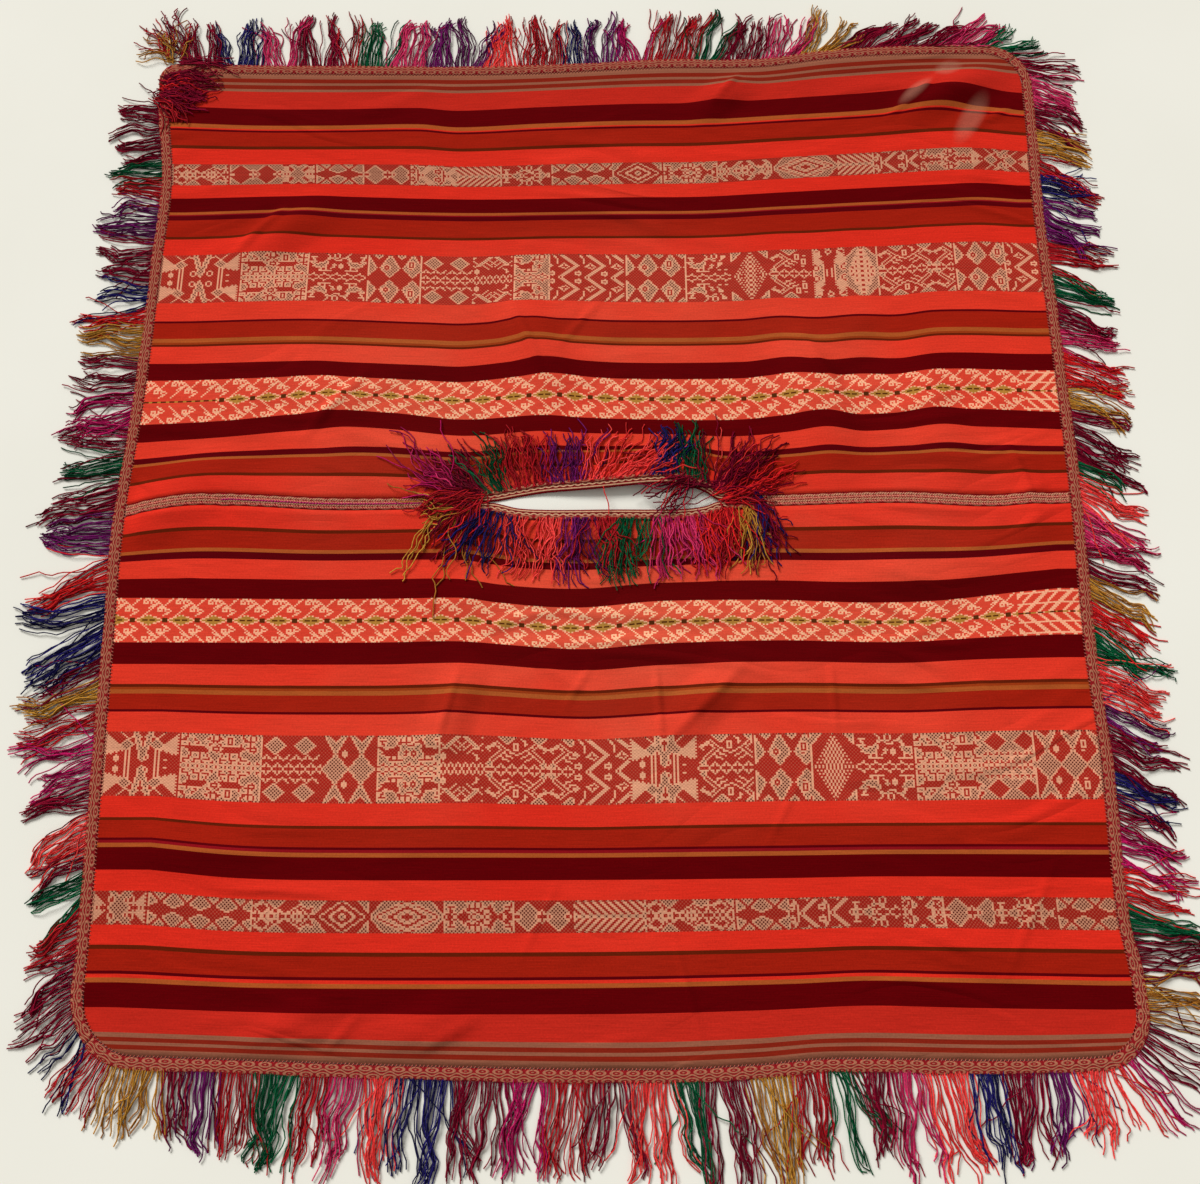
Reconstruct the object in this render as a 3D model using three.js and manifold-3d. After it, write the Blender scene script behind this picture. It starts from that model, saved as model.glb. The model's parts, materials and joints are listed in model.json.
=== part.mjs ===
// A fringed poncho laid flat: two warp-striped panels joined along the middle by a
// raised stitched seam, a neck slit with its own woven border and fringe, and a woven
// edge band with fringe all round. Millimetres, +Z up, the floor at z = 0, warp along X.
// Places are given from the middle of the neck slit. The whole is then moved so that
// the origin is under the middle of the part's box.

import * as THREE from "three";
import { mergeVertices } from "three/addons/utils/BufferGeometryUtils.js";
import Module from "manifold-3d";

// Driving dimensions
const CLOTH_THICK = 1.6;
const BAND_WIDE = 16;
const BAND_THICK = 2.6;
const SEAM_HALF = 8.2;
const SEAM_THICK = 2.4;
const NECK_HEADING = 5;
const HEADING_THICK = 2;
const GAP = 0.3;
const SLIT_START = -190;
const SLIT_END = 215;
const FLAT_MARGIN = 26;
const PANEL_ROWS = 18;
const STEPS_BESIDE_NECK = 10;
const OUTER_PITCH = 23.5;
const LOCK_SHARE = 0.68;
const NECK_LOCK_SHARE = 0.6;
const LOCK_HIGH = 3.6;
const NECK_LOCKS = 29;
const NECK_LOCK_HIGH = 3;
const TURNED_LOCK_WIDE = 6.5;
const TURNED_LOCK_HIGH = 4;
const ROOT_DEPTH = 6;
const ROOT_RAISED = 0.3;
const HOVER = 1.1;
const BOX_MID = { x: -4, y: -21 };

// Corner radii of the cloth inside its edge band
const CORNER = { upperLeft: 14, lowerLeft: 70, upperRight: 55, lowerRight: 52 };

// Distances in from the left and right ends where a corner arc is given a point
const LEFT_ARC_STEPS = [0, 5, 14, 20, 43, 70];
const RIGHT_ARC_STEPS = [55, 34, 16, 4, 0];

// The cloth's left and right ends, a row for each place up the side
const leftEnd = [
  { y: -706, x: -616 },
  { y: -560, x: -616 },
  { y: -400, x: -622 },
  { y: -200, x: -629 },
  { y: -75, x: -634 },
  { y: 0, x: -634 },
  { y: 150, x: -627 },
  { y: 360, x: -625 },
  { y: 500, x: -624 },
  { y: 600, x: -638 },
  { y: 705, x: -648 },
];
const rightEnd = [
  { y: -706, x: 639 },
  { y: -600, x: 635 },
  { y: -530, x: 627 },
  { y: -330, x: 630 },
  { y: -205, x: 626 },
  { y: 0, x: 631 },
  { y: 227, x: 630 },
  { y: 450, x: 627 },
  { y: 594, x: 631 },
  { y: 722, x: 633 },
];

// The cloth's upper and lower selvedges and the seam between the panels
const upperSelvedge = [
  { x: -650, y: 688 },
  { x: -500, y: 685 },
  { x: -300, y: 683 },
  { x: -120, y: 684 },
  { x: 91, y: 695 },
  { x: 242, y: 697 },
  { x: 348, y: 712 },
  { x: 455, y: 720 },
  { x: 640, y: 721 },
];
const lowerSelvedge = [
  { x: -620, y: -690 },
  { x: -480, y: -694 },
  { x: -230, y: -702 },
  { x: 40, y: -706 },
  { x: 170, y: -701 },
  { x: 260, y: -694 },
  { x: 480, y: -696 },
  { x: 645, y: -690 },
];
const seamLine = [
  { x: -640, y: -13 },
  { x: -530, y: 3 },
  { x: -365, y: -3 },
  { x: -190, y: 0 },
  { x: 215, y: 3 },
  { x: 400, y: 8 },
  { x: 520, y: 3 },
  { x: 640, y: 8 },
];

// The neck slit: how far its two lips stand from the seam line, and the border's width
const neckSlit = [
  { x: -190, up: 0.2, down: 0.2, wide: 8 },
  { x: -165, up: 0.2, down: 0.2, wide: 11 },
  { x: -140, up: 1.5, down: 1.5, wide: 14 },
  { x: -110, up: 7, down: 9, wide: 14 },
  { x: -75, up: 12, down: 12, wide: 14 },
  { x: -35, up: 14, down: 13, wide: 14 },
  { x: 0, up: 16, down: 13, wide: 14 },
  { x: 35, up: 19, down: 13, wide: 14 },
  { x: 70, up: 22, down: 13, wide: 14 },
  { x: 110, up: 22, down: 12, wide: 14 },
  { x: 140, up: 12, down: 8, wide: 14 },
  { x: 158, up: 1.5, down: 1.5, wide: 14 },
  { x: 185, up: 0.2, down: 0.2, wide: 11 },
  { x: 215, up: 0.2, down: 0.2, wide: 8 },
];

// The main folds, a row for each: middle, direction of the ridge in degrees,
// half its length, half its width and how high it stands
const folds = [
  { x: -561, y: 12, turn: 28, long: 130, wide: 62, rise: 9 },
  { x: -385, y: 25, turn: 8, long: 170, wide: 58, rise: 7 },
  { x: -364, y: 140, turn: -55, long: 115, wide: 52, rise: 8 },
  { x: -90, y: 240, turn: -62, long: 120, wide: 48, rise: 10 },
  { x: 300, y: 150, turn: -72, long: 135, wide: 52, rise: 11 },
  { x: 460, y: 120, turn: -70, long: 135, wide: 50, rise: 9 },
  { x: 45, y: 30, turn: 3, long: 170, wide: 60, rise: 11 },
  { x: 0, y: -34, turn: 0, long: 180, wide: 46, rise: 4 },
  { x: 400, y: -95, turn: 6, long: 150, wide: 50, rise: 6 },
  { x: -170, y: -135, turn: -16, long: 110, wide: 42, rise: 6 },
  { x: 520, y: 652, turn: 25, long: 115, wide: 42, rise: 13 },
  { x: 183, y: 647, turn: 39, long: 75, wide: 36, rise: 8 },
  { x: -456, y: 413, turn: 34, long: 110, wide: 44, rise: 9 },
  { x: -188, y: -280, turn: 72, long: 80, wide: 38, rise: 8 },
  { x: 131, y: -270, turn: 43, long: 100, wide: 38, rise: 9 },
  { x: 569, y: 15, turn: -78, long: 90, wide: 40, rise: 6 },
  { x: -371, y: -664, turn: 24, long: 85, wide: 38, rise: 8 },
  { x: -212, y: -662, turn: 20, long: 85, wide: 38, rise: 7 },
  { x: 446, y: -566, turn: -27, long: 90, wide: 38, rise: 7 },
  { x: -499, y: -456, turn: -4, long: 135, wide: 42, rise: 6 },
];

// The outer fringe, a row for each stretch of a side, taken anticlockwise from above:
// how far its locks reach and how many degrees they lean along the side
const outerFringe = {
  left: [
    { part: 0, reach: 66, lean: -14 },
    { part: 0.12, reach: 74, lean: 0 },
    { part: 0.35, reach: 86, lean: 6 },
    { part: 0.6, reach: 104, lean: 16 },
    { part: 0.8, reach: 80, lean: 12 },
    { part: 1, reach: 84, lean: 8 },
  ],
  bottom: [
    { part: 0, reach: 88, lean: 4 },
    { part: 0.2, reach: 102, lean: -2 },
    { part: 0.5, reach: 114, lean: 0 },
    { part: 0.8, reach: 110, lean: 5 },
    { part: 1, reach: 98, lean: 0 },
  ],
  right: [
    { part: 0, reach: 94, lean: -4 },
    { part: 0.25, reach: 88, lean: -24 },
    { part: 0.6, reach: 94, lean: -24 },
    { part: 0.9, reach: 84, lean: -22 },
    { part: 1, reach: 76, lean: -24 },
  ],
  top: [
    { part: 0, reach: 62, lean: -40 },
    { part: 0.2, reach: 66, lean: -48 },
    { part: 0.3, reach: 78, lean: -14 },
    { part: 0.6, reach: 86, lean: 0 },
    { part: 0.9, reach: 80, lean: 6 },
    { part: 1, reach: 66, lean: 14 },
  ],
};

// The neck fringe: reach of its locks and how many degrees they turn towards +X
const neckFringe = [
  { x: -190, reach: 74, turn: -68 },
  { x: -158, reach: 72, turn: -42 },
  { x: -120, reach: 66, turn: -10 },
  { x: 0, reach: 70, turn: 2 },
  { x: 150, reach: 68, turn: 8 },
  { x: 185, reach: 66, turn: 36 },
  { x: 215, reach: 62, turn: 66 },
];

// Fringe turned back over the upper left corner of the cloth: a lock for each row
const turnedLocks = [
  { x: -654, y: 664, turn: -84, reach: 52 },
  { x: -651, y: 673, turn: -66, reach: 66 },
  { x: -646, y: 681, turn: -50, reach: 72 },
  { x: -639, y: 688, turn: -36, reach: 74 },
  { x: -630, y: 694, turn: -22, reach: 66 },
];

const { clamp, degToRad, lerp, smoothstep } = THREE.MathUtils;

// A smooth line through a table's rows, giving one column against another
function through(rows, key, value) {
  const last = rows.length - 1;
  const slopeAt = (i) => {
    const before = rows[Math.max(i - 1, 0)];
    const after = rows[Math.min(i + 1, last)];
    return (after[value] - before[value]) / (after[key] - before[key]);
  };
  return (at) => {
    const place = clamp(at, rows[0][key], rows[last][key]);
    const next = clamp(rows.findIndex((row) => row[key] >= place), 1, last);
    const a = rows[next - 1];
    const b = rows[next];
    const span = b[key] - a[key];
    const t = (place - a[key]) / span;
    const curveIn = slopeAt(next - 1) * span * t * (1 - t) * (1 - t);
    const curveOut = slopeAt(next) * span * t * t * (1 - t);
    return lerp(a[value], b[value], t * t * (3 - 2 * t)) + curveIn - curveOut;
  };
}

const leftX = through(leftEnd, "y", "x");
const rightX = through(rightEnd, "y", "x");
const topY = through(upperSelvedge, "x", "y");
const bottomY = through(lowerSelvedge, "x", "y");
const seamY = through(seamLine, "x", "y");
const lipUp = through(neckSlit, "x", "up");
const lipDown = through(neckSlit, "x", "down");
const borderWide = through(neckSlit, "x", "wide");

const inNeck = (x) => x >= SLIT_START && x <= SLIT_END;

// A bump that is 1 in the middle and falls smoothly to exactly 0 at a distance of 1
const bump = (distance) => {
  const inside = Math.max(0, 1 - distance * distance);
  return inside * inside;
};

// How high the underside of the cloth stands over the floor at a place
function lift(x, y) {
  let height = 0;
  for (const fold of folds) {
    const turn = degToRad(fold.turn);
    const dx = x - fold.x;
    const dy = y - fold.y;
    const along = dx * Math.cos(turn) + dy * Math.sin(turn);
    const across = dy * Math.cos(turn) - dx * Math.sin(turn);
    height += fold.rise * bump(along / fold.long) * bump(across / fold.wide);
  }
  const inFromEnds = Math.min(x - leftX(y), rightX(y) - x);
  const inFromSelvedges = Math.min(y - bottomY(x), topY(x) - y);
  return height * smoothstep(Math.min(inFromEnds, inFromSelvedges), 0, FLAT_MARGIN);
}

// Where the columns of points cross the seam line, shared by all that meets there
function evenSteps(from, to, count) {
  return Array.from({ length: count - 1 }, (_, i) => lerp(from, to, (i + 1) / count));
}
const seamLeft = leftX(0);
const seamRight = rightX(0);
const leftArcEnd = seamLeft + LEFT_ARC_STEPS.at(-1);
const rightArcStart = seamRight - RIGHT_ARC_STEPS[0];
const columns = [
  ...LEFT_ARC_STEPS.map((step) => seamLeft + step),
  ...evenSteps(leftArcEnd, SLIT_START, STEPS_BESIDE_NECK),
  ...neckSlit.map((row) => row.x),
  ...evenSteps(SLIT_END, rightArcStart, STEPS_BESIDE_NECK),
  ...RIGHT_ARC_STEPS.map((step) => seamRight - step),
];
const slitStartColumn = columns.indexOf(SLIT_START);
const slitEndColumn = columns.indexOf(SLIT_END);
const lastColumn = columns.length - 1;

// How far a rounded corner takes the selvedge in, at a distance from the cloth's end
function cornerDrop(fromEnd, radius) {
  const inside = Math.max(0, radius - fromEnd);
  return radius - Math.sqrt(radius * radius - inside * inside);
}

// A panel's points, column by column from the seam outwards; side is 1 above, -1 below
function panelPoints(side) {
  const outer = side > 0 ? topY : bottomY;
  const leftRadius = side > 0 ? CORNER.upperLeft : CORNER.lowerLeft;
  const rightRadius = side > 0 ? CORNER.upperRight : CORNER.lowerRight;
  return columns.map((x) => {
    const lip = side > 0 ? lipUp(x) : lipDown(x);
    const seamSide = inNeck(x) ? lip + borderWide(x) : SEAM_HALF;
    const start = seamY(x) + side * (seamSide + GAP);
    const drop = cornerDrop(x - seamLeft, leftRadius) + cornerDrop(seamRight - x, rightRadius);
    const end = outer(x) - side * drop;
    const share = (x - seamLeft) / (seamRight - seamLeft);
    return Array.from({ length: PANEL_ROWS + 1 }, (_, row) => {
      const y = lerp(start, end, row / PANEL_ROWS);
      return new THREE.Vector2(lerp(leftX(y), rightX(y), share), y);
    });
  });
}

// A closed sheet over a net of points, its underside at the height that base gives
function sheet(points, base, thick) {
  const wide = points.length;
  const deep = points[0].length;
  const count = wide * deep;
  const position = new Float32Array(count * 2 * 3);
  points.flat().forEach((point, i) => {
    const under = base(point.x, point.y);
    position.set([point.x, point.y, under + thick], i * 3);
    position.set([point.x, point.y, under], (count + i) * 3);
  });
  const firstSide = points[1][0].clone().sub(points[0][0]);
  const otherSide = points[0][1].clone().sub(points[0][0]);
  const anticlockwise = firstSide.cross(otherSide) > 0;
  const faces = [];
  const face = (a, b, c) => faces.push(...(anticlockwise ? [a, b, c] : [a, c, b]));
  for (let i = 0; i < wide - 1; i++) {
    for (let j = 0; j < deep - 1; j++) {
      const a = i * deep + j;
      const b = a + deep;
      face(a, b, b + 1);
      face(a, b + 1, a + 1);
      face(count + a, count + b + 1, count + b);
      face(count + a, count + a + 1, count + b + 1);
    }
  }
  const rim = [];
  for (let i = 0; i < wide - 1; i++) rim.push(i * deep);
  for (let j = 0; j < deep - 1; j++) rim.push((wide - 1) * deep + j);
  for (let i = wide - 1; i > 0; i--) rim.push(i * deep + deep - 1);
  for (let j = deep - 1; j > 0; j--) rim.push(j);
  rim.forEach((a, i) => {
    const b = rim[(i + 1) % rim.length];
    face(count + a, count + b, b);
    face(count + a, b, a);
  });
  const geometry = new THREE.BufferGeometry();
  geometry.setAttribute("position", new THREE.BufferAttribute(position, 3));
  geometry.setIndex(faces);
  return geometry;
}

// The sections of a lock from its root to its tip, as shares of its length, width and height
const LOCK_SECTIONS = [
  { at: 0, wide: 0.7, high: 0.5 },
  { at: 0.45, wide: 1, high: 1 },
  { at: 1, wide: 0.5, high: 0.45 },
];

// A three-sided lock of yarns: level underneath, ridged above, bending to one side
function lock({ root, heading, reach, bend, wide, high, base }) {
  const along = new THREE.Vector2(Math.cos(heading), Math.sin(heading));
  const across = new THREE.Vector2(-along.y, along.x);
  const position = [];
  for (const section of LOCK_SECTIONS) {
    const middle = root
      .clone()
      .addScaledVector(along, reach * section.at)
      .addScaledVector(across, bend * section.at * section.at);
    const half = (wide * section.wide) / 2;
    const right = middle.clone().addScaledVector(across, -half);
    const left = middle.clone().addScaledVector(across, half);
    const under = base(middle, section.at);
    position.push(right.x, right.y, under);
    position.push(left.x, left.y, under);
    position.push(middle.x, middle.y, under + high * section.high);
  }
  const tip = (LOCK_SECTIONS.length - 1) * 3;
  const faces = [0, 2, 1, tip, tip + 1, tip + 2];
  for (let start = 0; start < tip; start += 3) {
    for (let edge = 0; edge < 3; edge++) {
      const a = start + edge;
      const b = start + ((edge + 1) % 3);
      faces.push(a, b, a + 3, b, b + 3, a + 3);
    }
  }
  const geometry = new THREE.BufferGeometry();
  geometry.setAttribute("position", new THREE.Float32BufferAttribute(position, 3));
  geometry.setIndex(faces);
  return geometry;
}

// Boolean joins of closed shapes
const wasm = await Module();
wasm.setup();
function solid(geometry) {
  const merged = mergeVertices(geometry);
  const vertProperties = merged.attributes.position.array;
  const triVerts = new Uint32Array(merged.index.array);
  return new wasm.Manifold(new wasm.Mesh({ numProp: 3, vertProperties, triVerts }));
}
function joined(pieces) {
  const whole = pieces.map(solid).reduce((sum, next) => sum.add(next));
  const mesh = whole.getMesh();
  const geometry = new THREE.BufferGeometry();
  geometry.setAttribute("position", new THREE.BufferAttribute(mesh.vertProperties, 3));
  geometry.setIndex(new THREE.BufferAttribute(mesh.triVerts, 1));
  return geometry;
}

// A path moved sideways to its right, square to its corners' bisectors
function offset(path, distance) {
  return path.map((point, i) => {
    const before = path[Math.max(i - 1, 0)];
    const after = path[Math.min(i + 1, path.length - 1)];
    const into = i > 0 ? point.clone().sub(before).normalize() : null;
    const outOf = i < path.length - 1 ? after.clone().sub(point).normalize() : null;
    const heading = (into ?? outOf).clone().add(outOf ?? into).normalize();
    const spread = heading.dot(outOf ?? into);
    return point.clone().addScaledVector(new THREE.Vector2(heading.y, -heading.x), distance / spread);
  });
}

// A point and a heading at a distance along a path
function walker(path) {
  const lengths = [0];
  for (let i = 1; i < path.length; i++) {
    lengths.push(lengths[i - 1] + path[i].distanceTo(path[i - 1]));
  }
  const place = (distance) => {
    const next = clamp(lengths.findIndex((length) => length >= distance), 1, path.length - 1);
    const t = (distance - lengths[next - 1]) / (lengths[next] - lengths[next - 1]);
    const side = path[next].clone().sub(path[next - 1]);
    return { point: path[next - 1].clone().addScaledVector(side, t), heading: side.angle() };
  };
  return { length: lengths.at(-1), place };
}

// How unevenly the locks lie: degrees of lean, share of the reach, and bend
const looseness = {
  outer: { lean: 2.2, reach: 0.07, bend: 5 },
  neck: { lean: 4, reach: 0.08, bend: 4 },
};

// A small uneven run of values between -1 and 1, the same each time
const RUN_STEPS = { lean: 1.9, reach: 2.6, bend: 0.5 };
const SLOW_STEP = 1.31;
function uneven(count, kind) {
  return Math.sin(count * RUN_STEPS[kind] + 0.7 * Math.sin(count * SLOW_STEP));
}

const upper = panelPoints(1);
const lower = panelPoints(-1);

// The cloth's outline from above, anticlockwise, cut at the middle of each corner's arc
const leftCorner = LEFT_ARC_STEPS.indexOf(20);
const rightCorner = lastColumn - RIGHT_ARC_STEPS.length + 1 + RIGHT_ARC_STEPS.indexOf(16);
const topRun = upper.map((column) => column.at(-1));
const bottomRun = lower.map((column) => column.at(-1));
const sidePaths = {
  left: [
    ...topRun.slice(1, leftCorner + 1).reverse(),
    ...upper[0].toReversed(),
    ...lower[0],
    ...bottomRun.slice(1, leftCorner + 1),
  ],
  bottom: bottomRun.slice(leftCorner, rightCorner + 1),
  right: [
    ...bottomRun.slice(rightCorner, lastColumn),
    ...lower[lastColumn].toReversed(),
    ...upper[lastColumn],
    ...topRun.slice(rightCorner, lastColumn).reverse(),
  ],
  top: topRun.slice(leftCorner, rightCorner + 1).reverse(),
};

// Both ends of a run of points drawn back a little, to leave a gap to its neighbour
function drawnBack(path, distance) {
  const ends = path.map((point) => point.clone());
  const first = path[1].clone().sub(path[0]).normalize();
  const last = path.at(-2).clone().sub(path.at(-1)).normalize();
  ends[0].addScaledVector(first, distance);
  ends.at(-1).addScaledVector(last, distance);
  return ends;
}

const floor = () => 0;

// The woven edge band along one side, with its fringe
function edgeBand(side) {
  const path = sidePaths[side];
  const inner = drawnBack(offset(path, GAP), GAP / 2);
  const outer = drawnBack(offset(path, GAP + BAND_WIDE), GAP / 2);
  const strip = sheet(inner.map((point, i) => [point, outer[i]]), floor, BAND_THICK);
  const reachAt = through(outerFringe[side], "part", "reach");
  const leanAt = through(outerFringe[side], "part", "lean");
  const rootLine = walker(offset(path, GAP + BAND_WIDE - ROOT_DEPTH));
  const count = Math.round(rootLine.length / OUTER_PITCH);
  const locks = Array.from({ length: count }, (_, i) => {
    const part = (i + 0.5) / count;
    const { point, heading } = rootLine.place(part * rootLine.length);
    const lean = degToRad(leanAt(part) + looseness.outer.lean * uneven(i, "lean"));
    return lock({
      root: point,
      heading: heading - Math.PI / 2 + lean,
      reach: reachAt(part) * (1 + looseness.outer.reach * uneven(i, "reach")) + ROOT_DEPTH,
      bend: looseness.outer.bend * uneven(i, "bend"),
      wide: OUTER_PITCH * LOCK_SHARE * Math.cos(lean),
      high: LOCK_HIGH,
      base: (_, at) => (at === 0 ? ROOT_RAISED : 0),
    });
  });
  return joined([strip, ...locks]);
}

// The raised seam between two columns, over the panels' joined edges
function seam(from, to) {
  const points = [];
  for (let i = from; i <= to; i++) {
    const above = upper[i][0].clone().add(new THREE.Vector2(0, -GAP));
    const below = lower[i][0].clone().add(new THREE.Vector2(0, GAP));
    points.push([above, below]);
  }
  if (from === slitEndColumn) points[0].forEach((point) => (point.x += GAP / 2));
  if (to === slitStartColumn) points.at(-1).forEach((point) => (point.x -= GAP / 2));
  return sheet(points, lift, SEAM_THICK);
}

// One lip's woven border, from the slit's edge to the panel
function neckPoints(side) {
  const panel = side > 0 ? upper : lower;
  const lip = side > 0 ? lipUp : lipDown;
  const points = [];
  for (let i = slitStartColumn; i <= slitEndColumn; i++) {
    const outer = panel[i][0].clone().add(new THREE.Vector2(0, -side * GAP));
    const inner = new THREE.Vector2(outer.x, seamY(columns[i]) + side * lip(columns[i]));
    points.push([inner, outer]);
  }
  points[0].forEach((point) => (point.x += GAP / 2));
  points.at(-1).forEach((point) => (point.x -= GAP / 2));
  return points;
}

// A lock that lies over the cloth: its root in a heading, its underside clear of the cloth
const OVER_BORDER = BAND_THICK + 2 * GAP;
const LOOK_ROUND = 9;
const LEAST_SPREAD = 0.55;
function overCloth(point, at) {
  const around = [
    lift(point.x, point.y),
    lift(point.x + LOOK_ROUND, point.y),
    lift(point.x - LOOK_ROUND, point.y),
    lift(point.x, point.y + LOOK_ROUND),
    lift(point.x, point.y - LOOK_ROUND),
  ];
  return at === 0 ? around[0] + OVER_BORDER : Math.max(...around) + CLOTH_THICK + HOVER;
}

// One lip's fringe: a narrow heading on the border, and its locks over the panel
function neckFringeOn(side) {
  const border = neckPoints(side);
  const outer = border.map(([, edge]) => edge);
  const inner = outer.map((edge) => edge.clone().add(new THREE.Vector2(0, -side * NECK_HEADING)));
  const overBorder = (x, y) => lift(x, y) + BAND_THICK + GAP;
  const heading = sheet(inner.map((point, i) => [point, outer[i]]), overBorder, HEADING_THICK);
  const reachAt = through(neckFringe, "x", "reach");
  const turnAt = through(neckFringe, "x", "turn");
  const middle = outer.map((edge, i) => edge.clone().lerp(inner[i], 0.5));
  const rootLine = walker(middle);
  const pitch = rootLine.length / NECK_LOCKS;
  const locks = Array.from({ length: NECK_LOCKS }, (_, i) => {
    const { point } = rootLine.place((i + 0.5) * pitch);
    const turn = turnAt(point.x) + looseness.neck.lean * uneven(i + side, "lean");
    return lock({
      root: point,
      heading: side * (Math.PI / 2 - degToRad(turn)),
      reach: reachAt(point.x) * (1 + looseness.neck.reach * uneven(i, "reach")),
      bend: looseness.neck.bend * uneven(i, "bend"),
      wide: pitch * NECK_LOCK_SHARE * Math.max(LEAST_SPREAD, Math.cos(degToRad(turn))),
      high: NECK_LOCK_HIGH,
      base: overCloth,
    });
  });
  return joined([heading, ...locks]);
}

// The fringe that is turned back over the upper left corner, on its own narrow heading
function cornerFringe() {
  const roots = turnedLocks.map((row) => new THREE.Vector2(row.x, row.y));
  const inner = offset(roots, -NECK_HEADING / 2);
  const outer = offset(roots, NECK_HEADING / 2);
  const onBand = () => BAND_THICK + GAP;
  const heading = sheet(inner.map((point, i) => [point, outer[i]]), onBand, HEADING_THICK);
  const locks = turnedLocks.map((row, i) =>
    lock({
      root: roots[i],
      heading: degToRad(row.turn),
      reach: row.reach,
      bend: looseness.neck.bend * uneven(i, "bend"),
      wide: TURNED_LOCK_WIDE,
      high: TURNED_LOCK_HIGH,
      base: (point, at) => (at < 0.5 ? OVER_BORDER : overCloth(point, at)),
    }),
  );
  return joined([heading, ...locks]);
}

const finish = {
  cloth: { color: 0xc8321e, roughness: 0.92, metalness: 0 },
  seam: { color: 0xc08a6a, roughness: 0.9, metalness: 0 },
  band: { color: 0x9a3a30, roughness: 0.9, metalness: 0 },
  fringe: { color: 0x8c1030, roughness: 0.9, metalness: 0 },
};

const laid = new THREE.Group();
laid.position.set(-BOX_MID.x, -BOX_MID.y, 0);

function addPiece(name, geometry, look) {
  geometry.computeVertexNormals();
  const mesh = new THREE.Mesh(geometry, new THREE.MeshStandardMaterial(look));
  mesh.name = name;
  laid.add(mesh);
}

addPiece("panel_upper", sheet(upper, lift, CLOTH_THICK), finish.cloth);
addPiece("panel_lower", sheet(lower, lift, CLOTH_THICK), finish.cloth);
addPiece("seam_left", seam(0, slitStartColumn), finish.seam);
addPiece("seam_right", seam(slitEndColumn, lastColumn), finish.seam);
addPiece("neck_border_upper", sheet(neckPoints(1), lift, BAND_THICK), finish.band);
addPiece("neck_border_lower", sheet(neckPoints(-1), lift, BAND_THICK), finish.band);
addPiece("neck_fringe_upper", neckFringeOn(1), finish.fringe);
addPiece("neck_fringe_lower", neckFringeOn(-1), finish.fringe);
for (const side of Object.keys(sidePaths)) {
  addPiece(`edge_band_${side}`, edgeBand(side), finish.band);
}
addPiece("corner_fringe", cornerFringe(), finish.fringe);

const group = new THREE.Group();
group.name = "poncho";
group.add(laid);

export default group;
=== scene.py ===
# %% [markdown]
# # Dressing a fringed poncho, laid flat
# The object is a poncho: two hand-woven striped panels joined along the middle, with a neck slit,
# a woven edge band and a long fringe of plied wool yarns. Its plain solids were made in CAD. This
# lesson gives them woven stripes, patterned bands, stitches and yarns, in the same place and size.
# The first step loads the solids as a fixed frame.

# %% Load the frame
import json
import math
import bmesh
import bpy
import numpy as np
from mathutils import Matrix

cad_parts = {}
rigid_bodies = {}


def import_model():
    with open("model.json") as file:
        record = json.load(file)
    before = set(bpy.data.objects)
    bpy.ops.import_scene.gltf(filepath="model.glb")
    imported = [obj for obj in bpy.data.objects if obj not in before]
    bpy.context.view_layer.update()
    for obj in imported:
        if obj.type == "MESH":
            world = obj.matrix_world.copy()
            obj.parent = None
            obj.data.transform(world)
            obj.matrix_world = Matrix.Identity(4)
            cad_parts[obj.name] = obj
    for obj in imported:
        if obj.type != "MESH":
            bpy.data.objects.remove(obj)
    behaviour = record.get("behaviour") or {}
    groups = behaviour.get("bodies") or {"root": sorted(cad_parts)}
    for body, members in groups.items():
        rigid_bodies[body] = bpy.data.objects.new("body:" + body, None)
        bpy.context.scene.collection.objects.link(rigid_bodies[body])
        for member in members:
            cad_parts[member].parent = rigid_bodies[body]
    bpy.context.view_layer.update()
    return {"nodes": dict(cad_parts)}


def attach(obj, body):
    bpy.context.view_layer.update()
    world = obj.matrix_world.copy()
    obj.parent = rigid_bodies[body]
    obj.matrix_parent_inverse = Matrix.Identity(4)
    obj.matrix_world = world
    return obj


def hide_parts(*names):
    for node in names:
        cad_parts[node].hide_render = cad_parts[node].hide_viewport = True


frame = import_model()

scene = bpy.context.scene
print("solids in the frame:", len(frame["nodes"]))

# %% [markdown]
# ## The camera
# The poncho is seen by someone who stands at its lower edge and looks almost straight down. A lens
# could be found by trial, but the parallel sides of the cloth fix it: they only stay parallel for
# one height and tilt. Colours are shown as they are, without a film curve that would dull the reds.

# %% Camera
PICTURE_WIDE = 1200
FOCAL_LENGTH = 1150
SENSOR = 36
TILT = 15.9
CAMERA_PLACE = (0.004, -0.5161, 1.45)

lens = bpy.data.cameras.new("camera")
lens.sensor_fit = "HORIZONTAL"
lens.sensor_width = SENSOR
lens.lens = SENSOR * FOCAL_LENGTH / PICTURE_WIDE
camera = bpy.data.objects.new("camera", lens)
camera.location = CAMERA_PLACE
camera.rotation_euler = (math.radians(TILT), 0, 0)
scene.collection.objects.link(camera)
scene.camera = camera
scene.view_settings.view_transform = "Standard"
print("lens in mm:", round(lens.lens, 2))

# %% [markdown]
# ## The outline in millimetres
# Every length below is in millimetres from the middle of the neck slit, because that is how a
# weaver would measure the cloth. Each table is short, and a smooth line runs through its rows.
# The last helper moves places to the frame's own origin and turns them into metres.

# %% Tables of the outline
MM = 0.001
NECK_FROM_ORIGIN = np.array([4.0, 21.0])

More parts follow.
